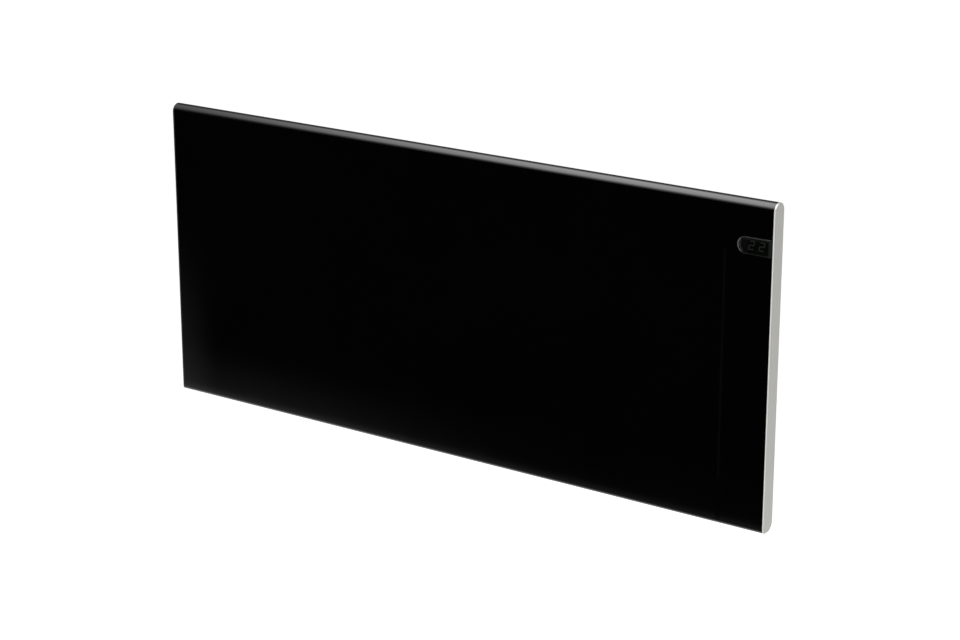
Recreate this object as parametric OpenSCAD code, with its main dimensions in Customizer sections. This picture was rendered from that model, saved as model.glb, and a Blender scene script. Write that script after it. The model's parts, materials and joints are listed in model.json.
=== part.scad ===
// Slim wall-hung convector heater with a gloss black front and a silver end cap.
// Millimetres. The wall is the plane y = 0 and the heater hangs towards -Y.
// The origin is the centre of the four wall screw holes. +Z is up.

/* [Overall] */
// Width of the heater over both end caps
heater_w = 840; // [700:10:1100]
// Height of the heater
heater_h = 370; // [350:5:450]
// Depth of the front shell
shell_d = 19; // [18:0.5:28]
// Depth of the warm air duct behind the shell
duct_d = 38; // [36:1:50]
// Free space between the duct and the wall
wall_gap = 22.5; // [22.5:0.5:28]

/* [Sheet metal] */
// Thickness of the front panel
panel_t = 0.8; // [0.7:0.1:1.2]
// Thickness of the rear cover
cover_t = 0.8; // [0.7:0.1:1.2]
// Thickness of the duct casing
casing_t = 0.8; // [0.7:0.1:1.2]
// Thickness of the wall bracket
bracket_t = 2; // [1.5:0.25:2.5]

/* [Shell shape] */
// Radius of the lower rear corner
rear_corner_r = 11; // [8:0.5:13]
// Radius of the lower front corner
front_corner_r = 4; // [1.5:0.25:5]
// Width of the flanges that the rear cover is screwed to
rear_flange = 20; // [18:1:24]
// How far the rear cover lies over the flanges
cover_lap = 10; // [8:0.5:11]
// Distance of the pressed seam from the right end
seam_inset = 57; // [50:1:70]
// Width of the pressed seam
seam_w = 1.2; // [0.8:0.1:2]
// Depth of the pressed seam
seam_depth = 0.15; // [0.05:0.05:0.4]

/* [End caps] */
// Thickness of a cap that shows beside the shell
cap_lip = 2.2; // [2:0.1:4]
// Rounding of a cap's outer edge
cap_edge_r = 1.2; // [0.6:0.1:1.8]
// Length of a cap's plug inside the shell
plug_len = 8; // [8:0.5:10]
// Wall of a cap's plug
plug_wall = 1.6; // [1.2:0.1:2]

/* [Display] */
// Radius of the round end of the display window
window_r = 9.8; // [8.5:0.1:10.5]
// Distance of the round end's centre from the right end
window_inset = 35; // [33:0.5:40]
// Distance of the window's centre line below the top
window_drop = 49.25; // [48:0.25:54]
// Width of the sloping rim around the sunk face
window_bevel = 1.4; // [1:0.1:2.5]
// Depth of the sunk face
window_depth = 0.6; // [0.4:0.1:2]
// Thickness of the dark lens
lens_t = 1.6; // [1:0.1:2]
// Height of a digit
digit_h = 10; // [7:0.1:11]
// Width of a digit
digit_w = 6.6; // [5:0.1:7]
// Distance between the centres of the two digits
digit_pitch = 12.4; // [9:0.1:13]
// Distance of the digits' middle from the right end
digit_inset = 22.5; // [21.5:0.1:28]
// Width of a digit's segment
segment_w = 1; // [0.6:0.1:1.4]

/* [Control end] */
// Width of the end that holds the controls
control_w = 120; // [115:1:140]
// Distance of the keys and the switch from the right end
key_inset = 50; // [45:1:54]
// Radius of a key
key_r = 5.5; // [4.5:0.1:6]
// Distance between two keys
key_pitch = 20; // [18:0.5:24]
// How far a key stands out
key_proud = 2.5; // [2:0.1:4]
// Travel of a key
key_travel = 1; // [0.5:0.1:1.2]
// Width of the mains switch body
switch_w = 13; // [11:0.5:15]
// Height of the mains switch body
switch_h = 19; // [18:0.5:24]
// Half of the rocker's swing in degrees
rocker_half_swing = 8; // [5:1:10]
// Radius of the cable gland's bore
gland_bore_r = 4; // [3:0.25:4.5]
// Radius of the cable gland's thread
gland_thread_r = 8; // [7:0.25:9]
// Distance of the cable gland above the bottom
gland_rise = 60; // [50:1:65]

/* [Duct] */
// Distance of the duct from the left end
duct_left_inset = 35; // [30:1:60]
// Distance of the duct's mouth below the top of the heater
duct_top_drop = 40; // [38:1:50]
// Distance of the duct's inlet above the bottom of the heater
duct_bottom_rise = 35; // [33:1:40]
// Width of the flanges at the sides of the duct
duct_flange = 12; // [10:0.5:14]
// Number of louvre blades in the outlet
louvre_count = 4; // [3:1:5]
// Tilt of the louvre blades in degrees
louvre_tilt = 30; // [15:5:40]
// Height of the outlet grille
grille_h = 12; // [12:0.5:16]
// Distance between two inlet slots
slot_pitch = 14; // [12:1:20]
// Width of an inlet slot
slot_w = 6; // [4:0.5:8]

/* [Heating element] */
// Radius of the sheathed rod
rod_r = 4; // [3:0.25:5]
// Half of the fins' reach front to back
fin_reach_y = 13; // [10:0.5:15]
// Half of the fins' reach up and down
fin_reach_z = 26; // [20:1:30]
// Thickness of a fin
fin_t = 1.5; // [1:0.1:2]
// Height of the element above the duct's inlet
element_rise = 55; // [50:1:70]

/* [Wall bracket] */
// Distance of a bracket arm from the middle
arm_x = 210; // [150:5:230]
// Width of a bracket arm
arm_w = 30; // [28:1:36]
// Distance of a screw hole above and below the middle
screw_rise = 70; // [50:5:75]
// Radius of a wall screw hole
wall_hole_r = 2.75; // [2.25:0.25:3.5]
// Radius of a hanger pin
pin_r = 4; // [3:0.25:4.5]
// Distance of a hanger pin from the wall
pin_gap = 13; // [12.5:0.25:13.5]
// Furthest forward tilt in degrees
tilt_max = 20; // [10:1:22]

/* [Hidden] */
$fn = 48;

// Clearances
seat_gap = 0.3;      // between pieces that only lie beside each other
slip_gap = 0.1;      // round a screw, a key or a pin in its hole
run_gap = 0.05;      // round a turning pin
past = 1;            // how far a cut runs past a face

// Heater planes
x_left = -heater_w / 2;
x_right = heater_w / 2;
z_bottom = -heater_h / 2;
z_top = heater_h / 2;
y_duct_back = -wall_gap;
y_back = y_duct_back - duct_d;
y_front = y_back - shell_d;
y_cover = y_back + cover_t;
top_r = shell_d / 2;
open_z0 = z_bottom + rear_corner_r + rear_flange;
open_z1 = z_top - top_r - rear_flange;
seam_x = x_right - seam_inset;

// End caps
cap_in = cap_lip + plug_len;
plug_gap = 0.2;
plug_inset = panel_t + plug_gap;
cap_screw_off = cover_lap + 5;
boss_d = 5;
notch_d = 8;

// Screws
screw_r = 1.75;
screw_head_r = 3.5;
screw_head_h = 1.8;
recess_w = 0.8;
recess_d = 0.9;

// Display window and what lies behind it
window_x = x_right - window_inset;
window_z = z_top - window_drop;
window_end_x = x_right - cap_lip - slip_gap;
window_gap = 0.15;
window_flange = 2;
window_flange_t = 1;
window_strip = 3;
lens_back_y = y_front + window_depth + lens_t;
digit_t = 0.2;
digit_slant = 8;
module_t = 6;
module_half_w = (digit_pitch + digit_w) / 2 + 1.2;
module_half_h = 7.5;
module_front_y = lens_back_y + seat_gap + digit_t;
board_t = 1.6;
display_board_y = module_front_y + module_t;
carrier_x0 = window_x - 11;
carrier_x1 = x_right - cap_in - seat_gap;
carrier_half_h = 9;
carrier_wall = 2;

// Keys, from the rear cover inwards
key_x = x_right - key_inset;
key_flange = 1.6;
key_flange_t = 1;
dome_squashed_h = 1.4;
mat_t = 1;

// Power board
board_h = 110;
spacer_h = 2 * seat_gap + key_flange_t + key_travel + dome_squashed_h + mat_t;
board_x0 = x_right - control_w + duct_flange + 1;
board_x1 = x_right - cap_in - 5;
board_z1 = window_z - carrier_half_h - 12;
board_z0 = board_z1 - board_h;
board_back_y = y_back - spacer_h;
board_front_y = board_back_y - board_t;
board_hole_in = 6;
board_screw_r = 1.5;
spacer_r = 3.2;
board_part_top_y = y_front + panel_t + 2;
part_room = board_front_y - board_part_top_y;

// Pieces on the power board: place above its lower left corner, and size
relay_at = [12, 62];
relay_size = [20, 16];
filter_at = [44, 70];
filter_size = [26, 24];
can_at = [50, 54];
can_pitch = 12;
can_r = 5;
chip_at = [14, 30];
chip_size = [14, 14];
chip_t = 2;
sink_at = [36, 28];
sink_size = [30, 12];
sink_t = 2;
sink_fins = 5;
connector_size = [26, 12];
connector_rise = 12;

// Lowest key, and the top of the rubber domes
key_z0 = board_z0 + 30;
dome_top_y = y_back - seat_gap - key_flange_t - seat_gap;

// Mains switch
switch_drop = 32;
switch_z = board_z0 - switch_drop;
switch_depth = 15;
switch_wall = 1.2;
bezel_t = 1.6;
bezel_lap = 1.2;
rocker_gap = 0.25;
rocker_y = y_cover - 1.2;
rocker_r = switch_h / 2 - switch_wall - rocker_gap - 0.2;
rocker_half_w = switch_w / 2 - switch_wall - rocker_gap;
rocker_top = 3.6;
rocker_pin_r = 1.2;
rocker_pin_len = 0.9;

// Terminal block, gland, earth and room sensor
block_w = 42;
block_h = 20;
block_d = 14;
block_x = key_x - 8;
block_drop = 30;
block_z = switch_z - switch_h / 2 - block_drop;
terminal_r = 2.4;
terminal_xs = [for (i = [-1 : 1]) block_x + i * block_w / 3.2];
gland_x = key_x - 10;
gland_z = z_bottom + gland_rise;
gland_head_r = gland_thread_r + 2.5;
gland_head_l = 12;
gland_thread_l = 9;
earth_x = x_right - 24;
earth_drop = 30;
earth_z = block_z - earth_drop;
earth_r = 2.5;
earth_len = 12;
earth_nut_r = 4.5;
earth_nut_h = 3;
sensor_x = x_right - 26;
sensor_z = open_z0 + 6;
sensor_r = 2.5;
sensor_len = 14;

// Duct
casing_x0 = x_left + duct_left_inset;
casing_x1 = x_right - control_w;
casing_z0 = z_bottom + duct_bottom_rise;
casing_z1 = z_top - duct_top_drop;
duct_in_x0 = casing_x0 + casing_t;
duct_in_x1 = casing_x1 - casing_t;
duct_in_y1 = y_duct_back - casing_t;
grille_t = 1;
inlet_lip = 5;
louvre_t = 1;
louvre_w = grille_h - 1.6;
rib_pitch = 57;
rear_slot_l = 24;
rear_slot_pitch = 25;
rear_slot_rise = 50;

// Heating element
element_y = (y_cover + duct_in_y1) / 2;
element_z = casing_z0 + element_rise;
element_end_in = 42;
bracket_plate_t = 1.5;
bracket_foot = 12;
bush_r = rod_r + 3;
bush_flange_r = rod_r + 6;
bush_flange_t = 3;
bush_len = 8;
element_x0 = duct_in_x0 + element_end_in;
element_x1 = duct_in_x1 - element_end_in;
rod_end = 12;
rod_x0 = element_x0 - rod_end;
rod_x1 = element_x1 + rod_end;
pin_len = 10;
terminal_pin_r = 0.8;
terminal_off = 2;
fin_angles = [0, 35, 58, 75, 90, 105, 122, 145];

// Reflector
reflector_t = 0.6;
reflector_off = 3;
reflector_z0 = casing_z0 + 15;
reflector_over = 34;
reflector_z1 = element_z + fin_reach_z + reflector_over;

// Leads
lead_r = 1.25;
lead_pitch = 10;
lead_x = block_x - block_w / 2 - 3;
lead_end_z = board_z0 + connector_rise;
lead_y = y_back - 10;
grommet_x = duct_in_x1 - 12;
grommet_bore_r = terminal_off + lead_r + 0.6;
grommet_r = grommet_bore_r + 1.4;
grommet_flange = 1.4;

// Hanger
pin_y = -pin_gap;
pin_z = casing_z0 - 6;
cradle_r = pin_r + run_gap;
hook_wall = 3.5;
hook_floor = 7;
hook_lip = 5;
arm_in = arm_w / 2 - bracket_t;
flange_d = pin_gap - cradle_r - 0.4;
arm_z0 = pin_z - cradle_r - hook_floor - 5;
arm_z1 = casing_z1 - 16;
lug_t = 3;
lug_foot_t = 2;
lug_boss_r = pin_r + 4;
lug_foot_half_w = arm_in - 2;
lug_foot_z0 = casing_z0 + 1;
lug_foot_h = 35;
lug_foot_z1 = lug_foot_z0 + lug_foot_h;
rivet_in = 6;
rivet_r = 2;
rivet_head_r = 3.4;
rivet_head_h = 1.2;
rivet_x = lug_foot_half_w - 4;
rivet_rows = [casing_z0 + inlet_lip + rivet_head_r + 1, lug_foot_z1 - rivet_in];
pin_head_r = pin_r + 1.6;
pin_head_t = 1.5;
stop_tip_r = 3;
stop_reach = lug_boss_r + 3;
stop_angle = asin((pin_gap - bracket_t - seat_gap - stop_tip_r) / stop_reach) - tilt_max;

// Upper stops and latches
latch_top_z = arm_z1 - 5;
latch_span = 21;
latch_foot_z = latch_top_z - latch_span;
tab_z1 = latch_foot_z - 4;
tab_h = 16;
tab_z0 = tab_z1 - tab_h;
bumper_t = 2.5;
tab_y = y_duct_back + bumper_t;
bumper_r = 7;
latch_t = 0.8;
latch_half_w = 7;
latch_nose = 4;
latch_tab = 4;
strike_t = 1;
strike_foot_t = 1.5;
strike_ledge_z = latch_top_z - latch_nose - sqrt(2) * latch_t - seat_gap;
strike_lip_h = 3;
strike_y = -11.5;
latch_nose_y = strike_y - strike_t - seat_gap - latch_t / 2;
strike_half_w = 6;
strike_foot_h = 13;

// Bracket rails
rail_h = 25;
rail_lip = 6;
rail_t = 1.5;

// Stiffeners
stiffener_count = 3;
stiffener_t = 0.8;
stiffener_in = 65;
stiffener_crown = 20;
stiffener_foot = 10;

// A flat shape in the YZ plane, drawn out along X
module along_x(x0, x1) {
    translate([x0, 0, 0]) rotate([90, 0, 90]) linear_extrude(x1 - x0) children();
}

// A flat shape in the XZ plane, drawn out along Y
module along_y(y0, y1) {
    translate([0, y1, 0]) rotate([90, 0, 0]) linear_extrude(y1 - y0) children();
}

// A box between two corners
module block(low, high) {
    translate(low) cube(high - low);
}

// A round peg along X
module peg_x(x0, x1, y, z, r) {
    translate([x0, y, z]) rotate([0, 90, 0]) cylinder(r = r, h = x1 - x0);
}

// A round peg along Y
module peg_y(y0, y1, x, z, r) {
    translate([x, y0, z]) rotate([-90, 0, 0]) cylinder(r = r, h = y1 - y0);
}

// A flat strip with round ends between two points of a plane
module strip(p, q, t) {
    run = q - p;
    translate(p) rotate(atan2(run[1], run[0])) translate([0, -t / 2]) square([norm(run), t]);
    translate(p) circle(t / 2);
    translate(q) circle(t / 2);
}

// A straight round rod between two points
module rod(p, q, r) {
    run = q - p;
    flat = norm([run[0], run[1]]);
    translate(p) rotate([0, atan2(flat, run[2]), atan2(run[1], run[0])]) cylinder(r = r, h = norm(run));
}

// A lead that follows points, with a round joint at each bend
module lead(points, r) {
    for (i = [1 : len(points) - 1]) rod(points[i - 1], points[i], r);
    for (i = [1 : len(points) - 2]) translate(points[i]) sphere(r);
}

// A pan head screw driven from behind, with its head seated at y
module rear_screw(x, z, y, shank) {
    difference() {
        union() {
            peg_y(y - shank, y + screw_head_h / 2, x, z, screw_r);
            peg_y(y, y + screw_head_h, x, z, screw_head_r);
        }
        for (turn = [0, 90]) {
            translate([x, y + screw_head_h, z]) rotate([0, turn, 0])
                cube([1.2 * screw_head_r, 2 * recess_d, recess_w], center = true);
        }
    }
}

// The shell's outline in the YZ plane, drawn in by an inset
module shell_outline(inset) {
    front_r = max(front_corner_r - inset, 0.3);
    y0 = y_front + inset;
    y1 = y_back - inset;
    translate([y_front + top_r, z_top - top_r]) circle(top_r - inset);
    translate([y0, z_bottom + rear_corner_r]) square([y1 - y0, heater_h - rear_corner_r - top_r]);
    translate([y0, z_bottom + inset + front_r]) square([2 * front_r, rear_corner_r - inset - front_r]);
    translate([y0 + front_r, z_bottom + inset])
        square([y1 + inset - rear_corner_r - y0 - front_r, rear_corner_r - inset]);
    translate([y0 + front_r, z_bottom + inset + front_r]) circle(front_r);
    intersection() {
        translate([y_back - rear_corner_r, z_bottom + rear_corner_r]) circle(rear_corner_r - inset);
        translate([y_back - rear_corner_r, z_bottom]) square([rear_corner_r, rear_corner_r]);
    }
}

// A bar with one round end, from the window's centre to x1
module window_shape(r, x1) {
    translate([window_x, window_z]) circle(r);
    translate([window_x, window_z - r]) square([x1 - window_x, 2 * r]);
}

function spread(x0, x1, n) = [for (i = [0 : n - 1]) x0 + (x1 - x0) * i / (n - 1)];

cover_x0 = x_left + cap_lip + seat_gap;
cover_x1 = x_right - cap_lip - seat_gap;
cover_z0 = open_z0 - cover_lap;
cover_z1 = open_z1 + cover_lap;
cover_screw_xs = spread(x_left + cap_in + 14, x_right - cap_in - 14, 6);
cover_screw_zs = [open_z0 - cover_lap / 2, open_z1 + cover_lap / 2];
casing_screw_xs = [casing_x0 - duct_flange / 2, casing_x1 + duct_flange / 2];
casing_screw_zs = spread(casing_z0 + 20, casing_z1 - 20, 4);
cap_screw_zs = [open_z0 - cap_screw_off, open_z1 + cap_screw_off];
cap_screw_in = cap_lip + plug_len / 2;

module cover_screw_places() {
    for (x = cover_screw_xs, z = cover_screw_zs) translate([x, 0, z]) children();
}

module casing_screw_places() {
    for (x = casing_screw_xs, z = casing_screw_zs) translate([x, 0, z]) children();
}

module cap_screw_places() {
    for (side = [-1, 1], z = cap_screw_zs) {
        translate([side * (x_right - cap_screw_in), 0, z]) children();
    }
}

module front_panel() {
    color("#0b0b0c") difference() {
        along_x(x_left + cap_lip, x_right - cap_lip) difference() {
            shell_outline(0);
            shell_outline(panel_t);
            translate([y_back - panel_t - past, open_z0])
                square([panel_t + 2 * past, open_z1 - open_z0]);
        }
        along_y(y_front - past, y_front + panel_t + past) window_shape(window_r, x_right);
        block([seam_x - seam_w / 2, y_front - past, z_bottom + front_corner_r],
              [seam_x + seam_w / 2, y_front + seam_depth, z_top - top_r]);
        cover_screw_places() peg_y(y_back - panel_t - past, y_back + past, 0, 0, screw_r + slip_gap);
        cap_screw_places() peg_y(y_back - panel_t - past, y_back + past, 0, 0, screw_r + slip_gap);
    }
}

// The right end cap; the left one is its mirror image with no window notch
module end_cap(notched) {
    lip_x = x_right - cap_lip;
    hull() {
        along_x(lip_x, x_right - cap_edge_r) shell_outline(0, $fn = 32);
        along_x(lip_x, x_right - 0.29 * cap_edge_r) shell_outline(0.29 * cap_edge_r, $fn = 32);
        along_x(lip_x, x_right) shell_outline(cap_edge_r, $fn = 32);
    }
    difference() {
        union() {
            along_x(lip_x - plug_len, lip_x + cap_lip / 4) difference() {
                shell_outline(plug_inset);
                shell_outline(plug_inset + plug_wall);
            }
            for (z = cap_screw_zs) {
                block([lip_x - plug_len, y_back - plug_inset - plug_wall - boss_d, z - 4],
                      [lip_x + cap_lip / 4, y_back - plug_inset - plug_wall / 2, z + 4]);
            }
        }
        for (z = cap_screw_zs) {
            peg_y(y_back - plug_inset - 2 * boss_d, y_back, x_right - cap_screw_in, z, screw_r + slip_gap);
        }
        if (notched) {
            half = window_r + window_flange + seat_gap;
            block([lip_x - plug_len - past, y_front, window_z - half],
                  [lip_x, y_front + notch_d, window_z + half]);
        }
    }
}

module right_end_cap() {
    color("#b4b4ae") end_cap(true);
}

module left_end_cap() {
    color("#101011") mirror([1, 0, 0]) end_cap(false);
}

module rear_cover() {
    y0 = y_back - past;
    y1 = y_cover + past;
    color("#1a1a1b") difference() {
        block([cover_x0, y_back, cover_z0], [cover_x1, y_cover, cover_z1]);
        cover_screw_places() peg_y(y0, y1, 0, 0, screw_r + slip_gap);
        casing_screw_places() peg_y(y0, y1, 0, 0, screw_r + slip_gap);
        for (i = [0 : 2]) peg_y(y0, y1, key_x, key_z0 + i * key_pitch, key_r + slip_gap);
        block([key_x - switch_w / 2 - slip_gap, y0, switch_z - switch_h / 2 - slip_gap],
              [key_x + switch_w / 2 + slip_gap, y1, switch_z + switch_h / 2 + slip_gap]);
        peg_y(y0, y1, gland_x, gland_z, gland_thread_r + slip_gap);
        peg_y(y0, y1, grommet_x, element_z, grommet_r + slip_gap);
    }
}

// Top hat strips that stiffen the front panel against the rear cover
module panel_stiffeners() {
    half = stiffener_crown / 2;
    y0 = y_front + panel_t;
    color("#9a9da0") for (x = spread(casing_x0 + stiffener_in, casing_x1 - stiffener_in, stiffener_count)) {
        translate([x, 0, open_z0 + 8]) linear_extrude(open_z1 - open_z0 - 16) {
            translate([-half, y_back - stiffener_t]) square([2 * half, stiffener_t]);
            for (side = [-1, 1]) {
                web_x = side > 0 ? half - stiffener_t : -half;
                foot_x = side > 0 ? half - stiffener_t : -half - stiffener_foot + stiffener_t;
                translate([web_x, y0]) square([stiffener_t, y_back - y0]);
                translate([foot_x, y0]) square([stiffener_foot, stiffener_t]);
            }
        }
    }
}

// The sunk window: a rim flush with the front, a slope, and the dark face behind
module display_window() {
    r = window_r - window_gap;
    mouth_r = r - 0.5;
    floor_r = mouth_r - window_bevel;
    floor_end_x = window_end_x - window_strip;
    floor_y = y_front + window_depth;
    color("#15181a") difference() {
        union() {
            along_y(y_front, lens_back_y) window_shape(r, window_end_x);
            along_y(y_front + panel_t, y_front + panel_t + window_flange_t)
                window_shape(window_r + window_flange, window_end_x);
        }
        translate([window_x, y_front, window_z]) rotate([-90, 0, 0])
            cylinder(r1 = mouth_r, r2 = floor_r, h = window_depth);
        along_x(window_x, floor_end_x) polygon([
            [y_front - past, window_z - mouth_r], [y_front, window_z - mouth_r],
            [floor_y, window_z - floor_r], [floor_y, window_z + floor_r],
            [y_front, window_z + mouth_r], [y_front - past, window_z + mouth_r]
        ]);
    }
}

// One digit 2 of five straight segments, leaning to the right
module digit_two() {
    w = digit_w / 2 - segment_w / 2;
    h = digit_h / 2 - segment_w / 2;
    lean = h * tan(digit_slant);
    gap = 0.55 * segment_w;
    strip([-w + lean + gap, h], [w + lean - gap, h], segment_w);
    strip([w + lean, h - gap], [w, gap], segment_w);
    strip([w - gap, 0], [-w + gap, 0], segment_w);
    strip([-w, -gap], [-w - lean, -h + gap], segment_w);
    strip([-w - lean + gap, -h], [w - lean - gap, -h], segment_w);
}

module display_digits() {
    color("#5c665c") along_y(module_front_y - digit_t, module_front_y) {
        for (side = [-0.5, 0.5]) {
            translate([x_right - digit_inset + side * digit_pitch, window_z]) digit_two();
        }
    }
}

module display_module() {
    x = x_right - digit_inset;
    color("#202224") block([x - module_half_w, module_front_y, window_z - module_half_h],
                           [x + module_half_w, display_board_y, window_z + module_half_h]);
}

module display_board() {
    color("#1f5a34") block([carrier_x0, display_board_y, window_z - carrier_half_h],
                           [carrier_x1, display_board_y + board_t, window_z + carrier_half_h]);
}

// A tray on the rear cover that carries the display board on its rim
module display_carrier() {
    y0 = display_board_y + board_t;
    color("#2b2c2e") difference() {
        block([carrier_x0, y0, window_z - carrier_half_h],
              [carrier_x1, y_back, window_z + carrier_half_h]);
        block([carrier_x0 + carrier_wall, y0 - past, window_z - carrier_half_h + carrier_wall],
              [carrier_x1 - carrier_wall, y_back - carrier_wall, window_z + carrier_half_h - carrier_wall]);
    }
}

module board_hole_places() {
    for (x = [board_x0 + board_hole_in, board_x1 - board_hole_in]) {
        for (z = [board_z0 + board_hole_in, board_z1 - board_hole_in]) translate([x, 0, z]) children();
    }
}

module power_board() {
    color("#1f5a34") difference() {
        block([board_x0, board_front_y, board_z0], [board_x1, board_back_y, board_z1]);
        board_hole_places() peg_y(board_front_y - past, board_back_y + past, 0, 0, board_screw_r + slip_gap);
    }
}

module board_spacers() {
    color("#c9a65a") board_hole_places() difference() {
        peg_y(board_back_y, y_back, 0, 0, spacer_r);
        peg_y(board_back_y - past, y_back - 1, 0, 0, board_screw_r + slip_gap);
    }
}

module board_screws() {
    color("silver") board_hole_places() {
        peg_y(board_front_y - 2, board_front_y, 0, 0, 2.8);
        peg_y(board_front_y - 1, board_back_y + 3, 0, 0, board_screw_r);
    }
}

// A box on the front of the power board, by its corner on the board
module on_board(at, size, d) {
    block([board_x0 + at[0], board_front_y - d, board_z0 + at[1]],
          [board_x0 + at[0] + size[0], board_front_y, board_z0 + at[1] + size[1]]);
}

module relay() {
    color("#2f6db0") on_board(relay_at, relay_size, part_room);
}

module board_parts() {
    can_h = part_room - 1;
    connector_xs = [lead_x - lead_pitch / 2, key_x];
    color("#e8c33c") on_board(filter_at, filter_size, can_h);
    color("#dddddd") for (x = connector_xs) {
        on_board([x - connector_size[0] / 2 - board_x0, connector_rise], connector_size, part_room - 3);
    }
    color("#303436") for (i = [0 : 2]) {
        peg_y(board_front_y - can_h, board_front_y,
              board_x0 + can_at[0] + i * can_pitch, board_z0 + can_at[1], can_r);
    }
    color("#3a3a3a") on_board(chip_at, chip_size, chip_t);
}

// An aluminium comb with the power switch on its foot
module heat_sink() {
    step = (sink_size[0] - sink_t) / (sink_fins - 1);
    color("#a8acb0") {
        on_board(sink_at, [sink_size[0], sink_t], part_room - 2);
        for (i = [0 : sink_fins - 1]) {
            on_board(sink_at + [i * step, sink_t], [sink_t, sink_size[1] - sink_t], part_room - 2);
        }
    }
}

// Rubber mat with a dome under each key
module key_mat() {
    z_end = key_z0 + 2 * key_pitch;
    color("#55585a") {
        block([key_x - key_r - 1, board_back_y, key_z0 - key_r - 1],
              [key_x + key_r + 1, board_back_y + mat_t, z_end + key_r + 1]);
        for (i = [0 : 2]) {
            translate([key_x, board_back_y + mat_t, key_z0 + i * key_pitch]) rotate([-90, 0, 0])
                cylinder(r1 = 0.75 * key_r, r2 = 0.45 * key_r, h = dome_top_y - board_back_y - mat_t);
        }
    }
}

// A round push key held behind the rear cover by its flange
module push_key(place) {
    z = key_z0 + place * key_pitch;
    y_in = y_back - seat_gap - key_flange_t;
    peg_y(y_in, y_cover + key_proud, key_x, z, key_r);
    peg_y(y_in, y_in + key_flange_t, key_x, z, key_r + key_flange);
}

module minus_key() {
    color("#3a3c3e") push_key(0);
}

module mode_key() {
    color("#3a3c3e") push_key(1);
}

module plus_key() {
    color("#3a3c3e") push_key(2);
}

module switch_housing() {
    half_w = switch_w / 2;
    half_h = switch_h / 2;
    color("#18191a") difference() {
        union() {
            block([key_x - half_w, y_cover - switch_depth, switch_z - half_h],
                  [key_x + half_w, y_cover, switch_z + half_h]);
            block([key_x - half_w - bezel_lap, y_cover, switch_z - half_h - bezel_lap],
                  [key_x + half_w + bezel_lap, y_cover + bezel_t, switch_z + half_h + bezel_lap]);
        }
        block([key_x - half_w + switch_wall, rocker_y - rocker_r - 1, switch_z - half_h + switch_wall],
              [key_x + half_w - switch_wall, y_cover + bezel_t + past, switch_z + half_h - switch_wall]);
        peg_x(key_x - half_w + switch_wall - rocker_pin_len - slip_gap,
              key_x + half_w - switch_wall + rocker_pin_len + slip_gap,
              rocker_y, switch_z, rocker_pin_r + run_gap);
    }
}

// The rocker rests tipped to one side, and swings to the other
module power_rocker() {
    edge = rocker_top + rocker_r * tan(rocker_half_swing);
    stub = rocker_half_w + rocker_gap + rocker_pin_len;
    color("#202123") translate([0, rocker_y, switch_z]) rotate([-rocker_half_swing, 0, 0]) {
        along_x(key_x - rocker_half_w, key_x + rocker_half_w) intersection() {
            circle(rocker_r);
            polygon([[-rocker_r / 2, -rocker_r], [edge, -rocker_r], [rocker_top, 0],
                     [edge, rocker_r], [-rocker_r / 2, rocker_r]]);
        }
        peg_x(key_x - stub, key_x + stub, 0, 0, rocker_pin_r);
    }
}

module terminal_block() {
    color("#e6e6e0") difference() {
        block([block_x - block_w / 2, y_back - block_d, block_z - block_h / 2],
              [block_x + block_w / 2, y_back, block_z + block_h / 2]);
        for (x = terminal_xs) {
            peg_y(y_back - block_d - past, y_back - 3, x, block_z, terminal_r + slip_gap);
        }
    }
}

module terminal_screws() {
    color("#c9a65a") for (x = terminal_xs) difference() {
        peg_y(y_back - block_d + 1.5, y_back - 3, x, block_z, terminal_r);
        block([x - terminal_r, y_back - block_d, block_z - recess_w / 2],
              [x + terminal_r, y_back - block_d + 1.5 + recess_d, block_z + recess_w / 2]);
    }
}

// Screwed inlet for the mains lead, which the heater is stored without
module cable_gland() {
    color("#242527") difference() {
        union() {
            peg_y(y_cover, y_cover + 4, gland_x, gland_z, gland_head_r, $fn = 6);
            peg_y(y_cover + 3.5, y_cover + gland_head_l, gland_x, gland_z, gland_head_r - 2.2);
            peg_y(y_cover - gland_thread_l, y_cover + 1, gland_x, gland_z, gland_thread_r);
        }
        peg_y(y_cover - gland_thread_l - past, y_cover + gland_head_l + past,
              gland_x, gland_z, gland_bore_r);
    }
}

module gland_nut() {
    color("#242527") difference() {
        peg_y(y_back - 4, y_back, gland_x, gland_z, gland_head_r + 0.6, $fn = 6);
        peg_y(y_back - 4 - past, y_back + past, gland_x, gland_z, gland_thread_r + run_gap);
    }
}

module earth_stud() {
    color("#c9a65a") {
        peg_y(y_back - earth_len, y_back, earth_x, earth_z, earth_r);
        peg_y(y_back - earth_nut_h, y_back, earth_x, earth_z, earth_nut_r, $fn = 6);
        peg_y(y_back - 3 * earth_nut_h, y_back - 2 * earth_nut_h, earth_x, earth_z, earth_nut_r, $fn = 6);
    }
}

// The bead that feels the room air, held just behind the cover
module room_sensor() {
    color("#d8d4c4") peg_x(sensor_x - sensor_len / 2, sensor_x + sensor_len / 2,
                           y_cover + 2 + sensor_r, sensor_z, sensor_r);
}

module sensor_clip() {
    half = sensor_r + 1.5;
    color("#2b2c2e") difference() {
        block([sensor_x - 4, y_cover, sensor_z - half],
              [sensor_x + 4, y_cover + 2 + 1.6 * sensor_r, sensor_z + half]);
        peg_x(sensor_x - 4 - past, sensor_x + 4 + past, y_cover + 2 + sensor_r, sensor_z, sensor_r + run_gap);
    }
}

module mains_leads() {
    block_top = block_z + block_h / 2;
    y = y_back - 8;
    color("#6b4a2f") for (side = [-1, 1]) {
        x = key_x + side * 3.5;
        rod([x, y, block_top], [x, y, switch_z - switch_h / 2], lead_r);
        rod([x, y, switch_z + switch_h / 2], [x, y, lead_end_z], lead_r);
    }
}

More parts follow.
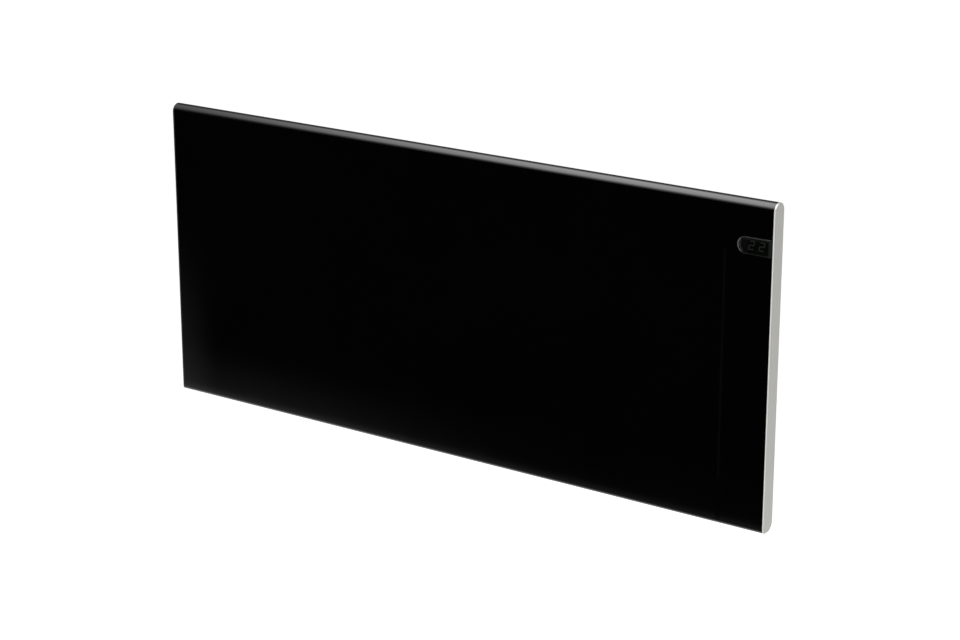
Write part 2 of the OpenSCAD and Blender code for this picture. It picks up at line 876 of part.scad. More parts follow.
// From the element's two pins through the grommet and up to the power board
module heater_leads() {
    color("#c8c8c4") for (side = [-1, 1]) {
        z = element_z + side * terminal_off;
        x_up = lead_x - (side + 1) / 2 * lead_pitch;
        lead([[rod_x1 + pin_len, element_y, z], [grommet_x, element_y, z],
              [grommet_x, lead_y, z], [x_up, lead_y, z], [x_up, lead_y, lead_end_z]], lead_r);
    }
}

module earth_lead() {
    y = y_back - 7.5;
    z0 = earth_z + earth_nut_r;
    color("#5a8a3a")
        lead([[earth_x, y, z0], [earth_x, y, block_z], [block_x + block_w / 2, y, block_z]], lead_r);
}

module lead_grommet() {
    color("#1c1c1c") difference() {
        union() {
            peg_y(y_back, y_cover, grommet_x, element_z, grommet_r);
            peg_y(y_back - 1.2, y_back, grommet_x, element_z, grommet_r + grommet_flange);
            peg_y(y_cover, y_cover + 1.2, grommet_x, element_z, grommet_r + grommet_flange);
        }
        peg_y(y_back - 3, y_cover + 3, grommet_x, element_z, grommet_bore_r);
    }
}

module rear_slots() {
    n = floor((casing_x1 - casing_x0 - 60) / rear_slot_pitch);
    x0 = (casing_x0 + casing_x1 - (n - 1) * rear_slot_pitch) / 2;
    for (i = [0 : n - 1]) {
        x = x0 + i * rear_slot_pitch;
        if (min(abs(x - arm_x), abs(x + arm_x)) > arm_w / 2 + slot_w) {
            along_y(y_duct_back - casing_t - past, y_duct_back + past)
                strip([x, casing_z1 - rear_slot_rise], [x, casing_z1 - rear_slot_rise + rear_slot_l], slot_w);
        }
    }
}

module rivet_places() {
    for (side = [-1, 1], offset = [-1, 1], z = rivet_rows) {
        translate([side * arm_x + offset * rivet_x, 0, z]) children();
    }
}

// Folded steel duct, open at the top and the bottom
module duct_casing() {
    color("#1a1a1b") difference() {
        translate([0, 0, casing_z0]) linear_extrude(casing_z1 - casing_z0) {
            translate([casing_x0, duct_in_y1]) square([casing_x1 - casing_x0, casing_t]);
            translate([casing_x0, y_cover]) square([casing_t, y_duct_back - y_cover]);
            translate([duct_in_x1, y_cover]) square([casing_t, y_duct_back - y_cover]);
            translate([casing_x0 - duct_flange, y_cover]) square([duct_flange + casing_t, casing_t]);
            translate([duct_in_x1, y_cover]) square([duct_flange + casing_t, casing_t]);
        }
        rear_slots();
        casing_screw_places() peg_y(y_cover - past, y_cover + casing_t + past, 0, 0, screw_r + slip_gap);
        rivet_places() peg_y(duct_in_y1 - past, y_duct_back + past, 0, 0, rivet_r + run_gap);
    }
}

module outlet_grille() {
    x0 = duct_in_x0 + slip_gap;
    x1 = duct_in_x1 - slip_gap;
    y0 = y_cover + slip_gap;
    y1 = duct_in_y1 - slip_gap;
    z0 = casing_z1 - grille_h;
    ribs = ceil((x1 - x0) / rib_pitch) + 1;
    step = (y1 - y0) / louvre_count;
    color("#1f1f20") {
        block([x0, y0, z0], [x1, y0 + grille_t, casing_z1]);
        block([x0, y1 - grille_t, z0], [x1, y1, casing_z1]);
        for (x = spread(x0, x1 - grille_t, ribs)) block([x, y0, z0], [x + grille_t, y1, casing_z1]);
        for (i = [0 : louvre_count - 1]) {
            translate([x0, y0 + (i + 0.5) * step, z0 + grille_h / 2]) rotate([louvre_tilt, 0, 0])
                translate([0, -louvre_t / 2, -louvre_w / 2]) cube([x1 - x0, louvre_t, louvre_w]);
        }
    }
}

module inlet_grille() {
    x0 = duct_in_x0 + slip_gap;
    x1 = duct_in_x1 - slip_gap;
    y0 = y_cover + slip_gap;
    y1 = duct_in_y1 - slip_gap;
    rim = 6;
    n = floor((x1 - x0 - 2 * rim) / slot_pitch);
    first_x = (x0 + x1 - (n - 1) * slot_pitch) / 2;
    color("#1f1f20") difference() {
        block([x0, y0, casing_z0], [x1, y1, casing_z0 + inlet_lip]);
        block([x0 + grille_t, y0 + grille_t, casing_z0 + grille_t],
              [x1 - grille_t, y1 - grille_t, casing_z0 + inlet_lip + past]);
        translate([0, 0, casing_z0 - past]) linear_extrude(grille_t + 2 * past) for (i = [0 : n - 1]) {
            x = first_x + i * slot_pitch;
            strip([x, y0 + rim + slot_w / 2], [x, y1 - rim - slot_w / 2], slot_w);
        }
    }
}

// Length of a fin at an angle, as far as the fin block's sides
function fin_length(a) =
    min(fin_reach_y / max(abs(cos(a)), 0.01), fin_reach_z / max(abs(sin(a)), 0.01));

module heating_element() {
    color("#a8acb0") along_x(element_x0, element_x1) translate([element_y, element_z]) difference() {
        union() {
            circle(rod_r + 2.5);
            for (a = fin_angles) {
                rotate(a) translate([-fin_length(a), -fin_t / 2]) square([2 * fin_length(a), fin_t]);
            }
        }
        circle(rod_r + slip_gap);
    }
}

module element_rod() {
    color("#8d9094") peg_x(rod_x0, rod_x1, element_y, element_z, rod_r);
}

// Ceramic bushes that carry the rod in the brackets at both ends
module element_bushes() {
    color("#efece2") for (side = [-1, 1]) {
        x = side < 0 ? element_x0 : element_x1;
        flange_x = side < 0 ? x - bush_flange_t : x;
        sleeve_x = side < 0 ? x - bush_len : x;
        difference() {
            union() {
                peg_x(flange_x, flange_x + bush_flange_t, element_y, element_z, bush_flange_r);
                peg_x(sleeve_x, sleeve_x + bush_len, element_y, element_z, bush_r);
            }
            peg_x(sleeve_x - past, sleeve_x + bush_len + past, element_y, element_z, rod_r + slip_gap);
        }
    }
}

// A steel plate on the rear cover at each end of the element
module element_brackets() {
    half_h = bush_flange_r + 5;
    color("#9a9da0") for (side = [-1, 1]) {
        x = side < 0 ? element_x0 - bush_flange_t - bracket_plate_t : element_x1 + bush_flange_t;
        foot_x = side < 0 ? x + bracket_plate_t - bracket_foot : x;
        difference() {
            union() {
                block([x, y_cover, element_z - half_h],
                      [x + bracket_plate_t, element_y + bush_flange_r, element_z + half_h]);
                block([foot_x, y_cover, element_z - half_h],
                      [foot_x + bracket_foot, y_cover + bracket_plate_t, element_z - half_h + 9]);
            }
            peg_x(x - past, x + bracket_plate_t + past, element_y, element_z, bush_r + run_gap);
        }
    }
}

module element_terminals() {
    color("#c9a65a") for (side = [-1, 1]) {
        peg_x(rod_x1, rod_x1 + pin_len, element_y, element_z + side * terminal_off, terminal_pin_r);
    }
}

// Bimetal disc that cuts the current when the duct gets too hot
module thermal_cutout() {
    x = element_x1 - 30;
    z = element_z + fin_reach_z + 22;
    color("#2a2a2a") peg_y(y_cover + 1.5, y_cover + 9, x, z, 8);
    color("silver") block([x - 14, y_cover, z - 5], [x + 14, y_cover + 1.5, z + 5]);
    color("#c9a65a") for (side = [-1, 1]) {
        block([x + side * 4 - 0.4, y_cover + 8, z - 3], [x + side * 4 + 0.4, y_cover + 15, z + 3]);
    }
}

// Bright sheet that keeps the element's heat off the back of the duct
module rear_reflector() {
    y1 = duct_in_y1 - reflector_off;
    color("#c6c9cc") along_x(duct_in_x0 + 24, duct_in_x1 - 24) {
        translate([y1 - reflector_t, reflector_z0]) square([reflector_t, reflector_z1 - reflector_z0]);
        for (z = [reflector_z0, reflector_z1 - reflector_t]) {
            translate([y1 - reflector_t, z]) square([reflector_off + reflector_t, reflector_t]);
        }
    }
}

module cover_screws() {
    color("#55585a") cover_screw_places() rear_screw(0, 0, y_cover, cover_t + panel_t + 4);
}

module casing_screws() {
    color("#55585a") casing_screw_places() rear_screw(0, 0, y_cover + casing_t, cover_t + casing_t + 3);
}

module cap_screws() {
    color("#55585a") cap_screw_places() rear_screw(0, 0, y_back, boss_d + plug_inset);
}

// A foot on the duct, a plate down to the hanger pin, and a nose that stops the tilt
module hanger_lugs() {
    foot_y = y_duct_back + lug_foot_t / 2;
    color("#77797c") for (side = [-1, 1]) translate([side * arm_x, 0, 0]) difference() {
        union() {
            block([-lug_foot_half_w, y_duct_back, lug_foot_z0],
                  [lug_foot_half_w, y_duct_back + lug_foot_t, lug_foot_z1]);
            along_x(-lug_t / 2, lug_t / 2) {
                polygon([[foot_y, lug_foot_z1], [foot_y, lug_foot_z0],
                         [pin_y - lug_boss_r * 0.7, pin_z - lug_boss_r * 0.6], [pin_y, pin_z],
                         [pin_y + lug_boss_r * 0.8, pin_z + lug_boss_r * 0.5]]);
                translate([pin_y, pin_z]) {
                    circle(lug_boss_r);
                    rotate(stop_angle - 90) strip([0, 0], [stop_reach, 0], 2 * stop_tip_r);
                }
            }
        }
        peg_x(-lug_t, lug_t, pin_y, pin_z, pin_r + run_gap);
        for (offset = [-1, 1], z = rivet_rows) {
            peg_y(y_duct_back - past, y_duct_back + lug_foot_t + past,
                  offset * rivet_x, z, rivet_r + run_gap);
        }
    }
}

module hanger_pins() {
    end_x = arm_w / 2 + seat_gap;
    color("#b9bcc0") for (side = [-1, 1]) translate([side * arm_x, 0, 0]) {
        peg_x(-end_x - pin_head_t, end_x + pin_head_t, pin_y, pin_z, pin_r);
        peg_x(-end_x - pin_head_t, -end_x, pin_y, pin_z, pin_head_r);
        peg_x(end_x, end_x + pin_head_t, pin_y, pin_z, pin_head_r);
    }
}

module lug_rivets() {
    color("#b9bcc0") rivet_places() {
        peg_y(duct_in_y1 - rivet_head_h, duct_in_y1, 0, 0, rivet_head_r);
        peg_y(duct_in_y1 - rivet_head_h / 2, y_duct_back + lug_foot_t + rivet_head_h / 2, 0, 0, rivet_r);
        peg_y(y_duct_back + lug_foot_t, y_duct_back + lug_foot_t + rivet_head_h, 0, 0, rivet_head_r);
    }
}

// Steel catches on the duct with an upturned lip behind the latch spring's nose
module latch_strikers() {
    z = strike_ledge_z - strike_t;
    color("#77797c") for (side = [-1, 1]) translate([side * arm_x, 0, 0]) {
        along_x(-strike_half_w, strike_half_w) {
            translate([y_duct_back, strike_ledge_z - strike_foot_h]) square([strike_foot_t, strike_foot_h]);
            translate([y_duct_back, z]) square([strike_y - y_duct_back, strike_t]);
            translate([strike_y - strike_t, z]) square([strike_t, strike_lip_h + strike_t]);
        }
    }
}

module hook_outline() {
    front_y = pin_y - cradle_r - hook_wall;
    floor_z = pin_z - cradle_r - hook_floor;
    tip_z = pin_z + hook_lip - hook_wall / 2;
    difference() {
        union() {
            translate([-flange_d, arm_z0]) square([flange_d, arm_z1 - arm_z0]);
            polygon([[-flange_d, floor_z - 4], [front_y + 4, floor_z + 3], [front_y, pin_z - cradle_r],
                     [front_y, tip_z], [pin_y - cradle_r, tip_z], [-flange_d, pin_z]]);
            translate([front_y + hook_wall / 2, tip_z]) circle(hook_wall / 2);
            translate([tab_y, tab_z0]) square([-tab_y - flange_d / 2, tab_z1 - tab_z0]);
        }
        translate([pin_y, pin_z]) circle(cradle_r);
        translate([pin_y - cradle_r, pin_z]) square([2 * cradle_r, hook_lip + 4]);
    }
}

// A channel with a cradle in each flange for the hanger pin
module bracket_arm() {
    difference() {
        union() {
            block([-arm_w / 2, -bracket_t, arm_z0], [arm_w / 2, 0, arm_z1]);
            for (x = [-arm_w / 2, arm_in]) along_x(x, x + bracket_t) hook_outline();
            block([-arm_w / 2, tab_y, tab_z0], [arm_w / 2, tab_y + bracket_t, tab_z1]);
        }
        for (z = [-screw_rise, screw_rise]) peg_y(-bracket_t - past, past, 0, z, wall_hole_r);
    }
}

module left_bracket_arm() {
    color("#1e1f20") translate([-arm_x, 0, 0]) bracket_arm();
}

module right_bracket_arm() {
    color("#1e1f20") translate([arm_x, 0, 0]) bracket_arm();
}

module rail(z) {
    x = arm_x - arm_w / 2;
    color("#1e1f20") along_x(-x, x) {
        translate([-rail_t, z]) square([rail_t, rail_h]);
        for (edge = [z, z + rail_h - rail_t]) translate([-rail_lip, edge]) square([rail_lip, rail_t]);
    }
}

module upper_rail() {
    rail(screw_rise - rail_h / 2);
}

module lower_rail() {
    rail(-screw_rise - rail_h / 2);
}

// A bent leaf riveted in each arm: foot, run, nose and the finger tab that frees it
module latch_springs() {
    foot_y = -bracket_t;
    nose_y0 = latch_nose_y - latch_t / 2;
    nose_y1 = latch_nose_y + latch_t / 2;
    vee_z = latch_top_z - latch_nose;
    turn = latch_t / sqrt(2);
    color("#8d9094") for (side = [-1, 1]) translate([side * arm_x, 0, 0]) {
        along_x(-latch_half_w, latch_half_w) polygon([
            [foot_y, latch_foot_z], [foot_y, latch_top_z], [nose_y0, latch_top_z], [nose_y0, vee_z],
            [nose_y0 - latch_tab, vee_z + latch_tab], [nose_y0 - latch_tab - turn, vee_z + latch_tab - turn],
            [nose_y0, vee_z - 2 * turn], [nose_y1, vee_z - 2 * turn], [nose_y1, latch_top_z - latch_t],
            [foot_y - latch_t, latch_top_z - latch_t], [foot_y - latch_t, latch_foot_z]
        ]);
    }
}

module wall_bumpers() {
    color("#161616") for (side = [-1, 1]) {
        peg_y(y_duct_back, tab_y, side * arm_x, (tab_z0 + tab_z1) / 2, bumper_r);
    }
}

front_panel();
left_end_cap();
right_end_cap();
rear_cover();
panel_stiffeners();
display_window();
display_digits();
display_module();
display_board();
display_carrier();
power_board();
board_spacers();
board_screws();
relay();
board_parts();
heat_sink();
key_mat();
plus_key();
minus_key();
mode_key();
switch_housing();
power_rocker();
terminal_block();
terminal_screws();
cable_gland();
gland_nut();
earth_stud();
room_sensor();
sensor_clip();
mains_leads();
heater_leads();
earth_lead();
lead_grommet();
duct_casing();
outlet_grille();
inlet_grille();
heating_element();
element_rod();
element_bushes();
element_brackets();
element_terminals();
thermal_cutout();
rear_reflector();
cover_screws();
casing_screws();
cap_screws();
hanger_lugs();
hanger_pins();
latch_strikers();
lug_rivets();
left_bracket_arm();
right_bracket_arm();
upper_rail();
lower_rail();
latch_springs();
wall_bumpers();
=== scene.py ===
# Slim wall-hung convector heater with a gloss black front, a silver end cap and a sunk display.
# Metres, in the frame's axes: the wall is y = 0, the heater hangs towards -Y and +Z is up.
import json
import math

import bmesh
import bpy
from mathutils import Matrix, Vector


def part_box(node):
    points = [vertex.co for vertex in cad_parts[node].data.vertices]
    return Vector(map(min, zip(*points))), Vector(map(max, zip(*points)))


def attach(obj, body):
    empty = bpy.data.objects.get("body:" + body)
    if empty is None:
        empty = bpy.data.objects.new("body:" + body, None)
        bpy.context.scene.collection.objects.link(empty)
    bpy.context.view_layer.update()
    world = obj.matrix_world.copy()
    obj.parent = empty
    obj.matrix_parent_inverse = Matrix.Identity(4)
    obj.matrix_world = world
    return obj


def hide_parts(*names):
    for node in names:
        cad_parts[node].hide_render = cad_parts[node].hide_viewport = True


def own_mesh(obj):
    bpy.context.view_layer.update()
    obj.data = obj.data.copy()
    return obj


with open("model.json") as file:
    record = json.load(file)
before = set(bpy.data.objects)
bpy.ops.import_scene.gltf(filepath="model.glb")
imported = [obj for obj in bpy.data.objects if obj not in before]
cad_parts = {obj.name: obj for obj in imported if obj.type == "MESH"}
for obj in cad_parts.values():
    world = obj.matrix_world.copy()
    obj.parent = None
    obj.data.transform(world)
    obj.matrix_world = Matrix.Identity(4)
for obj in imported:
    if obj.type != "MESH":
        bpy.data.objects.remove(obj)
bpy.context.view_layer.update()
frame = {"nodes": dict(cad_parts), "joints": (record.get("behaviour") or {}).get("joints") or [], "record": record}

MM = 0.001
BODY_OF = {node: body for body, nodes in frame["record"]["behaviour"]["bodies"].items()
           for node in nodes}
SLOT_OF = {part["node"]: part["material_slot"] for part in frame["record"]["subparts"]}

# Shell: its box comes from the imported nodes
panel_lo, panel_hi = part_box("front_panel")
cover_lo, cover_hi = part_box("rear_cover")
x_left, x_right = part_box("left_end_cap")[0].x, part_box("right_end_cap")[1].x
panel_x0, panel_x1 = panel_lo.x, panel_hi.x
y_front, y_back = panel_lo.y, panel_hi.y
z_bottom, z_top = panel_lo.z, panel_hi.z
panel_t = 0.8 * MM
edge_r = 0.25 * MM
top_r = (y_back - y_front) / 2
front_corner_r = 4 * MM
rear_corner_r = 11 * MM
cover_lap = 10 * MM
open_z0, open_z1 = cover_lo.z + cover_lap, cover_hi.z - cover_lap
top_steps, front_steps, rear_steps, fade_steps, seam_steps = 64, 24, 16, 8, 6

# Pressed seam near the right end: a shallow crease that fades out towards both ends
seam_x = x_right - 57 * MM
seam_half_w = 4.5 * MM
seam_depth = 0.3 * MM
seam_fade = 50 * MM

# End caps and their plugs inside the shell
cap_edge_r = 1.2 * MM
cap_lip_edge = 0.15 * MM
plug_inset = 1 * MM
plug_wall = 1.6 * MM
plug_tip = (0.4 * MM, 0.3 * MM)
notch_past = 1 * MM
notch_over = 2.3 * MM
notch_depth = 8 * MM

# Display window: a bead, a slope, a ledge and a fine step round the dark face
window_lo, window_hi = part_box("display_window")
window_x = x_right - 35 * MM
window_z = (window_lo.z + window_hi.z) / 2
window_end_x, lens_back_y = window_hi.x, window_hi.y
window_hole_r = 9.8 * MM
window_gap = 0.15 * MM
window_r = window_hole_r - window_gap
window_bead = 0.2 * MM
bead_foot = 0.02 * MM
window_slope = (1.4 * MM, 0.52 * MM)
window_ledge = (1.3 * MM, 0.0)
window_step = (0.3 * MM, 0.10 * MM)
window_strip = 3 * MM

# Screw holes in the shell's rear flanges
screw_head_r = 3.5 * MM
screw_hole_r = 1.85 * MM

# Push keys and the domes of their mat
key_r = 5.5 * MM
key_flange_t = 1 * MM
key_soft = 0.6 * MM
key_dish = 0.35 * MM
key_axis_r = 0.2 * MM
mark_h = 0.15 * MM
mark_sink = 0.1 * MM
mark_reach, mark_stroke, mark_dot = 2.1 * MM, 0.3 * MM, 0.9 * MM
mat_t = 1 * MM
# Radius in millimetres and share of the height, from the foot to the top
DOME_PROFILE = [(0.1, 0), (4.1, 0), (4.0, 0.06), (3.5, 0.2), (3.0, 0.62), (2.75, 0.88),
                (2.6, 0.96), (2.3, 1), (0.1, 1)]

# Radius in millimetres of the edges that are rounded on the CAD nodes
SOFT_EDGES = {
    "left_bracket_arm": 0.3, "right_bracket_arm": 0.3, "upper_rail": 0.25, "lower_rail": 0.25,
    "outlet_grille": 0.2, "hanger_lugs": 0.3, "hanger_pins": 0.3, "latch_strikers": 0.2,
    "wall_bumpers": 0.4, "switch_housing": 0.25, "power_rocker": 0.2, "sensor_clip": 0.3,
    "room_sensor": 0.6, "cover_screws": 0.2, "casing_screws": 0.2, "cap_screws": 0.2,
    "lug_rivets": 0.35, "terminal_block": 0.4, "relay": 0.4, "board_parts": 0.4,
    "display_module": 0.3, "display_carrier": 0.3, "display_board": 0.1, "power_board": 0.1,
    "heat_sink": 0.15, "gland_nut": 0.4, "earth_stud": 0.3, "terminal_screws": 0.15,
    "board_spacers": 0.2, "board_screws": 0.2, "thermal_cutout": 0.15, "element_bushes": 0.4,
    "element_brackets": 0.2, "rear_reflector": 0.1, "heating_element": 0.2,
    "panel_stiffeners": 0.15, "lead_grommet": 0.25,
}

# Camera at the photograph's angle
AZIMUTH, PITCH = 35.27, 17.5
DISTANCE = 2.763
LENS_MM, SENSOR_MM = 90.29, 36.0
camera_target = Vector((0.0436, y_front, -0.0091))


def turns(start, end, steps):
    """Angles in radians from one angle to another in degrees, both ends included."""
    return [math.radians(start + (end - start) * i / steps) for i in range(steps + 1)]


def arc(centre, r, start, end, steps):
    """Points (y, z) of an arc round a centre."""
    return [(centre[0] + r * math.cos(t), centre[1] + r * math.sin(t))
            for t in turns(start, end, steps)]


def shell_path(inset, rear_z0, rear_z1):
    """The shell's outline (y, z): from rear_z1 at its back, over the top and down to rear_z0."""
    y0, y1 = y_front + inset, y_back - inset
    top_z, low_z = z_top - top_r, z_bottom + front_corner_r
    path = [(y1, rear_z1)]
    path += arc((y_front + top_r, top_z), top_r - inset, 0, 180, top_steps)
    path += [(y0, top_z - seam_fade * i / fade_steps) for i in range(1, fade_steps + 1)]
    path += [(y0, low_z + seam_fade * i / fade_steps) for i in range(fade_steps, 0, -1)]
    path += arc((y_front + front_corner_r, low_z), front_corner_r - inset, 180, 270, front_steps)
    path += arc((y_back - rear_corner_r, z_bottom + rear_corner_r), rear_corner_r - inset,
                -90, 0, rear_steps)
    return path + [(y1, rear_z0)]


def new_object(name, bm):
    """A mesh object made from a bmesh, with its normals outwards and its doubles removed."""
    bmesh.ops.remove_doubles(bm, verts=bm.verts, dist=1e-7)
    bmesh.ops.recalc_face_normals(bm, faces=bm.faces)
    mesh = bpy.data.meshes.new(name)
    bm.to_mesh(mesh)
    bm.free()
    piece = bpy.data.objects.new(name, mesh)
    bpy.context.scene.collection.objects.link(piece)
    return piece


def shade(piece, angle=35):
    """Smooth shading with sharp edges past an angle, where large faces keep their direction."""
    mesh = piece.data
    mesh.polygons.foreach_set("use_smooth", [True] * len(mesh.polygons))
    mesh.set_sharp_from_angle(angle=math.radians(angle))
    weighted = piece.modifiers.new("weighted", "WEIGHTED_NORMAL")
    weighted.keep_sharp = True
    weighted.weight = 100


def dress(piece, body, slot, node=None, material=None):
    """Gives a finished piece the finish of its slot or a given material, hangs it on its body, and hides the node
    that it stands for.
    """
    piece.data.materials.clear()
    piece.data.materials.append(material or FINISHES[slot])
    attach(piece, body)
    if node:
        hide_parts(node)


def stand_for(piece, node):
    """Dresses a piece as the CAD node that it takes the place of."""
    dress(piece, BODY_OF[node], SLOT_OF[node], node)


def loft(bm, rings, closed=True, ends=False):
    """Faces between rings of equally many points, and over both end rings where asked."""
    rows = [[bm.verts.new(p) for p in ring] for ring in rings]
    count = len(rows[0])
    for low, high in zip(rows, rows[1:]):
        for i in range(count if closed else count - 1):
            j = (i + 1) % count
            bm.faces.new((low[i], low[j], high[j], high[i]))
    if ends:
        bm.faces.new(rows[0])
        bm.faces.new(rows[-1])
    return rows


def loft_sheet(bm, rings):
    """A thin sheet between rings that each run along one face and back along the other."""
    rows = loft(bm, rings)
    for row in (rows[0], rows[-1]):
        last = len(row) - 1
        for i in range(len(row) // 2 - 1):
            bm.faces.new((row[i], row[i + 1], row[last - 1 - i], row[last - i]))


def turned_ring(centre, r, y, steps=48):
    """A ring round the Y axis through a centre (x, z); r is a number or a function of the angle."""
    ring = []
    for i in range(steps):
        t = 2 * math.pi * i / steps
        reach = r(t) if callable(r) else r
        ring.append((centre[0] + reach * math.cos(t), y, centre[1] + reach * math.sin(t)))
    return ring


def revolve(bm, centre, profile, steps=48):
    """A solid turned round the Y axis through a centre (x, z), from (radius, y) pairs."""
    loft(bm, [turned_ring(centre, r, y, steps) for r, y in profile], ends=True)


def revolve_hollow(bm, centre, profile, steps=48):
    """A ring-shaped solid turned from a closed profile of (radius, y) pairs."""
    rings = [turned_ring(centre, r, y, steps) for r, y in profile]
    loft(bm, rings + rings[:1])


def slab(bm, low, high, matrix=Matrix.Identity(4)):
    """A box between two corners, placed by a matrix."""
    centre = (Vector(low) + Vector(high)) / 2
    size = Vector(high) - Vector(low)
    place = matrix @ Matrix.Translation(centre) @ Matrix.Diagonal((*size, 1))
    bmesh.ops.create_cube(bm, size=1, matrix=place)


def apply_modifiers(piece):
    """Puts the result of the piece's modifiers into its mesh."""
    graph = bpy.context.evaluated_depsgraph_get()
    made = bpy.data.meshes.new_from_object(piece.evaluated_get(graph))
    piece.modifiers.clear()
    piece.data = made


def cut_away(piece, cutter):
    """Takes the cutter out of the piece."""
    cut = piece.modifiers.new("cut", "BOOLEAN")
    cut.operation, cut.solver, cut.object = "DIFFERENCE", "EXACT", cutter
    apply_modifiers(piece)
    bpy.data.objects.remove(cutter)


def new_tree(name):
    """A new material and its node tree."""
    material = bpy.data.materials.new(name)
    material.use_nodes = True
    return material, material.node_tree


def add_node(tree, kind, inputs=None, **settings):
    """A shader node with its settings, and its inputs set to a value or linked to an output."""
    made = tree.nodes.new(kind)
    for key, value in settings.items():
        setattr(made, key, value)
    for key, value in (inputs or {}).items():
        if isinstance(value, bpy.types.NodeSocket):
            tree.links.new(value, made.inputs[key])
        else:
            made.inputs[key].default_value = value
    return made


class Finish:
    """A procedural material, built up by short calls on its node tree."""

    def __init__(self, name, **sockets):
        self.material, self.tree = new_tree(name)
        self.shader = self.tree.nodes["Principled BSDF"]
        self.place = self.add("ShaderNodeTexCoord").outputs["Object"]
        for key, value in sockets.items():
            self.shader.inputs[key.replace("_", " ")].default_value = value

    def add(self, kind, inputs=None, **settings):
        """A node on the material's tree."""
        return add_node(self.tree, kind, inputs, **settings)

    def feed(self, socket, value):
        """Links a value to one of the shader's inputs."""
        self.tree.links.new(value, self.shader.inputs[socket])
        return self

    def stretched(self, x, y, z):
        """The place, scaled along each axis, for grain that runs one way."""
        inputs = {"Vector": self.place, "Scale": (x, y, z)}
        return self.add("ShaderNodeMapping", inputs).outputs["Vector"]

    def noise(self, scale, detail=2.0, place=None):
        """Fine or coarse noise around 0.5."""
        inputs = {"Vector": place or self.place, "Scale": scale, "Detail": detail}
        return self.add("ShaderNodeTexNoise", inputs).outputs["Fac"]

    def cells(self, scale, place=None, feature="F1"):
        """Cells with a distance and a colour."""
        inputs = {"Vector": place or self.place, "Scale": scale}
        return self.add("ShaderNodeTexVoronoi", inputs, feature=feature)

    def span(self, value, low, high, from_low=0.25, from_high=0.75):
        """A value between from_low and from_high, brought between low and high."""
        inputs = {"Value": value, "From Min": from_low, "From Max": from_high,
                  "To Min": low, "To Max": high}
        return self.add("ShaderNodeMapRange", inputs).outputs["Result"]

    def blend(self, factor, first, second):
        """A colour between two colours."""
        inputs = {0: factor, 6: (*first, 1), 7: (*second, 1)}
        return self.add("ShaderNodeMix", inputs, data_type="RGBA").outputs[2]

    def colour(self, factor, first, second):
        """Sets the base colour between two colours."""
        return self.feed("Base Color", self.blend(factor, first, second))

    def roughness(self, value, low, high):
        """Sets the roughness between two values."""
        return self.feed("Roughness", self.span(value, low, high))

    def bump(self, height, depth):
        """Raises the skin by a depth in metres."""
        made = self.add("ShaderNodeBump", {"Height": height, "Distance": depth})
        return self.feed("Normal", made.outputs["Normal"])


def gloss_enamel():
    """Black stove enamel: deep gloss with a very slight orange peel."""
    f = Finish("gloss_enamel", IOR=1.5)
    f.colour(f.noise(9, 3), (0.0003, 0.0003, 0.0003), (0.0006, 0.0006, 0.0006))
    f.roughness(f.noise(30, 4), 0.035, 0.06)
    return f.bump(f.noise(160, 1), 0.004 * MM).material


def black_cap_finish():
    """The left cap: black lacquer over moulded plastic."""
    f = Finish("black_cap", IOR=1.5)
    f.colour(f.noise(25, 3), (0.0014, 0.0014, 0.0015), (0.0024, 0.0024, 0.0025))
    f.roughness(f.noise(90, 3), 0.16, 0.24)
    return f.bump(f.noise(1500, 2), 0.008 * MM).material


def silver_lacquer():
    """The right cap: fine silver lacquer with small flakes, slightly warm."""
    f = Finish("silver_lacquer", Metallic=0.25, IOR=1.45)
    flakes = f.cells(2600).outputs["Distance"]
    f.colour(f.span(flakes, 0, 1, 0.1, 0.6), (0.44, 0.436, 0.412), (0.506, 0.50, 0.478))
    f.roughness(f.noise(700, 3), 0.34, 0.46)
    return f.bump(f.noise(2200, 2), 0.006 * MM).material


def smoked_lens():
    """Dark plastic over the display: neutral at its round end, greenish where it is see-through."""
    f = Finish("smoked_lens", IOR=1.5, Alpha=0.87)
    across = f.add("ShaderNodeSeparateXYZ", {"Vector": f.place}).outputs["X"]
    along = f.span(across, 0, 1, window_x - window_r, window_end_x)
    zones = f.add("ShaderNodeValToRGB", {"Fac": along})
    stops = zones.color_ramp.elements
    stops[0].position, stops[0].color = 0.27, (0.0022, 0.0022, 0.0023, 1)
    stops[1].position, stops[1].color = 0.34, (0.0007, 0.0013, 0.0008, 1)
    stops.new(0.875).color = (0.0010, 0.0018, 0.0012, 1)
    stops.new(0.890).color = (0.0095, 0.0098, 0.0090, 1)
    f.feed("Base Color", zones.outputs["Color"])
    return f.roughness(f.noise(120, 2), 0.015, 0.04).material


def lit_segments():
    """Dim grey-green light of the two digits."""
    f = Finish("lit_segments", Emission_Strength=1.15)
    f.feed("Emission Color", f.blend(f.noise(900, 2), (0.62, 0.75, 0.62), (0.85, 0.95, 0.82)))
    return f.colour(f.noise(400, 1), (0.20, 0.24, 0.20), (0.26, 0.30, 0.25)).material


def powder_coat(name, dark, light, peel=0.030):
    """Satin powder coat with the fine pebbled skin of a baked coat."""
    f = Finish(name, IOR=1.5)
    f.colour(f.noise(35, 4), dark, light)
    f.roughness(f.noise(420, 3), 0.38, 0.52)
    return f.bump(f.noise(1300, 2), peel * MM).material


def moulded(name, dark, light, low=0.42, high=0.58):
    """Moulded plastic with a fine spark-eroded grain."""
    f = Finish(name, IOR=1.48)
    f.colour(f.noise(60, 3), dark, light)
    f.roughness(f.noise(500, 2), low, high)
    return f.bump(f.noise(1800, 3), 0.02 * MM).material


def galvanised():
    """Zinc coated sheet with its spangle."""
    f = Finish("galvanised_steel", Metallic=1.0)
    spangle = f.cells(140).outputs["Color"]
    f.colour(spangle, (0.44, 0.46, 0.48), (0.60, 0.62, 0.64))
    f.roughness(spangle, 0.32, 0.52)
    return f.bump(f.noise(900, 3), 0.006 * MM).material


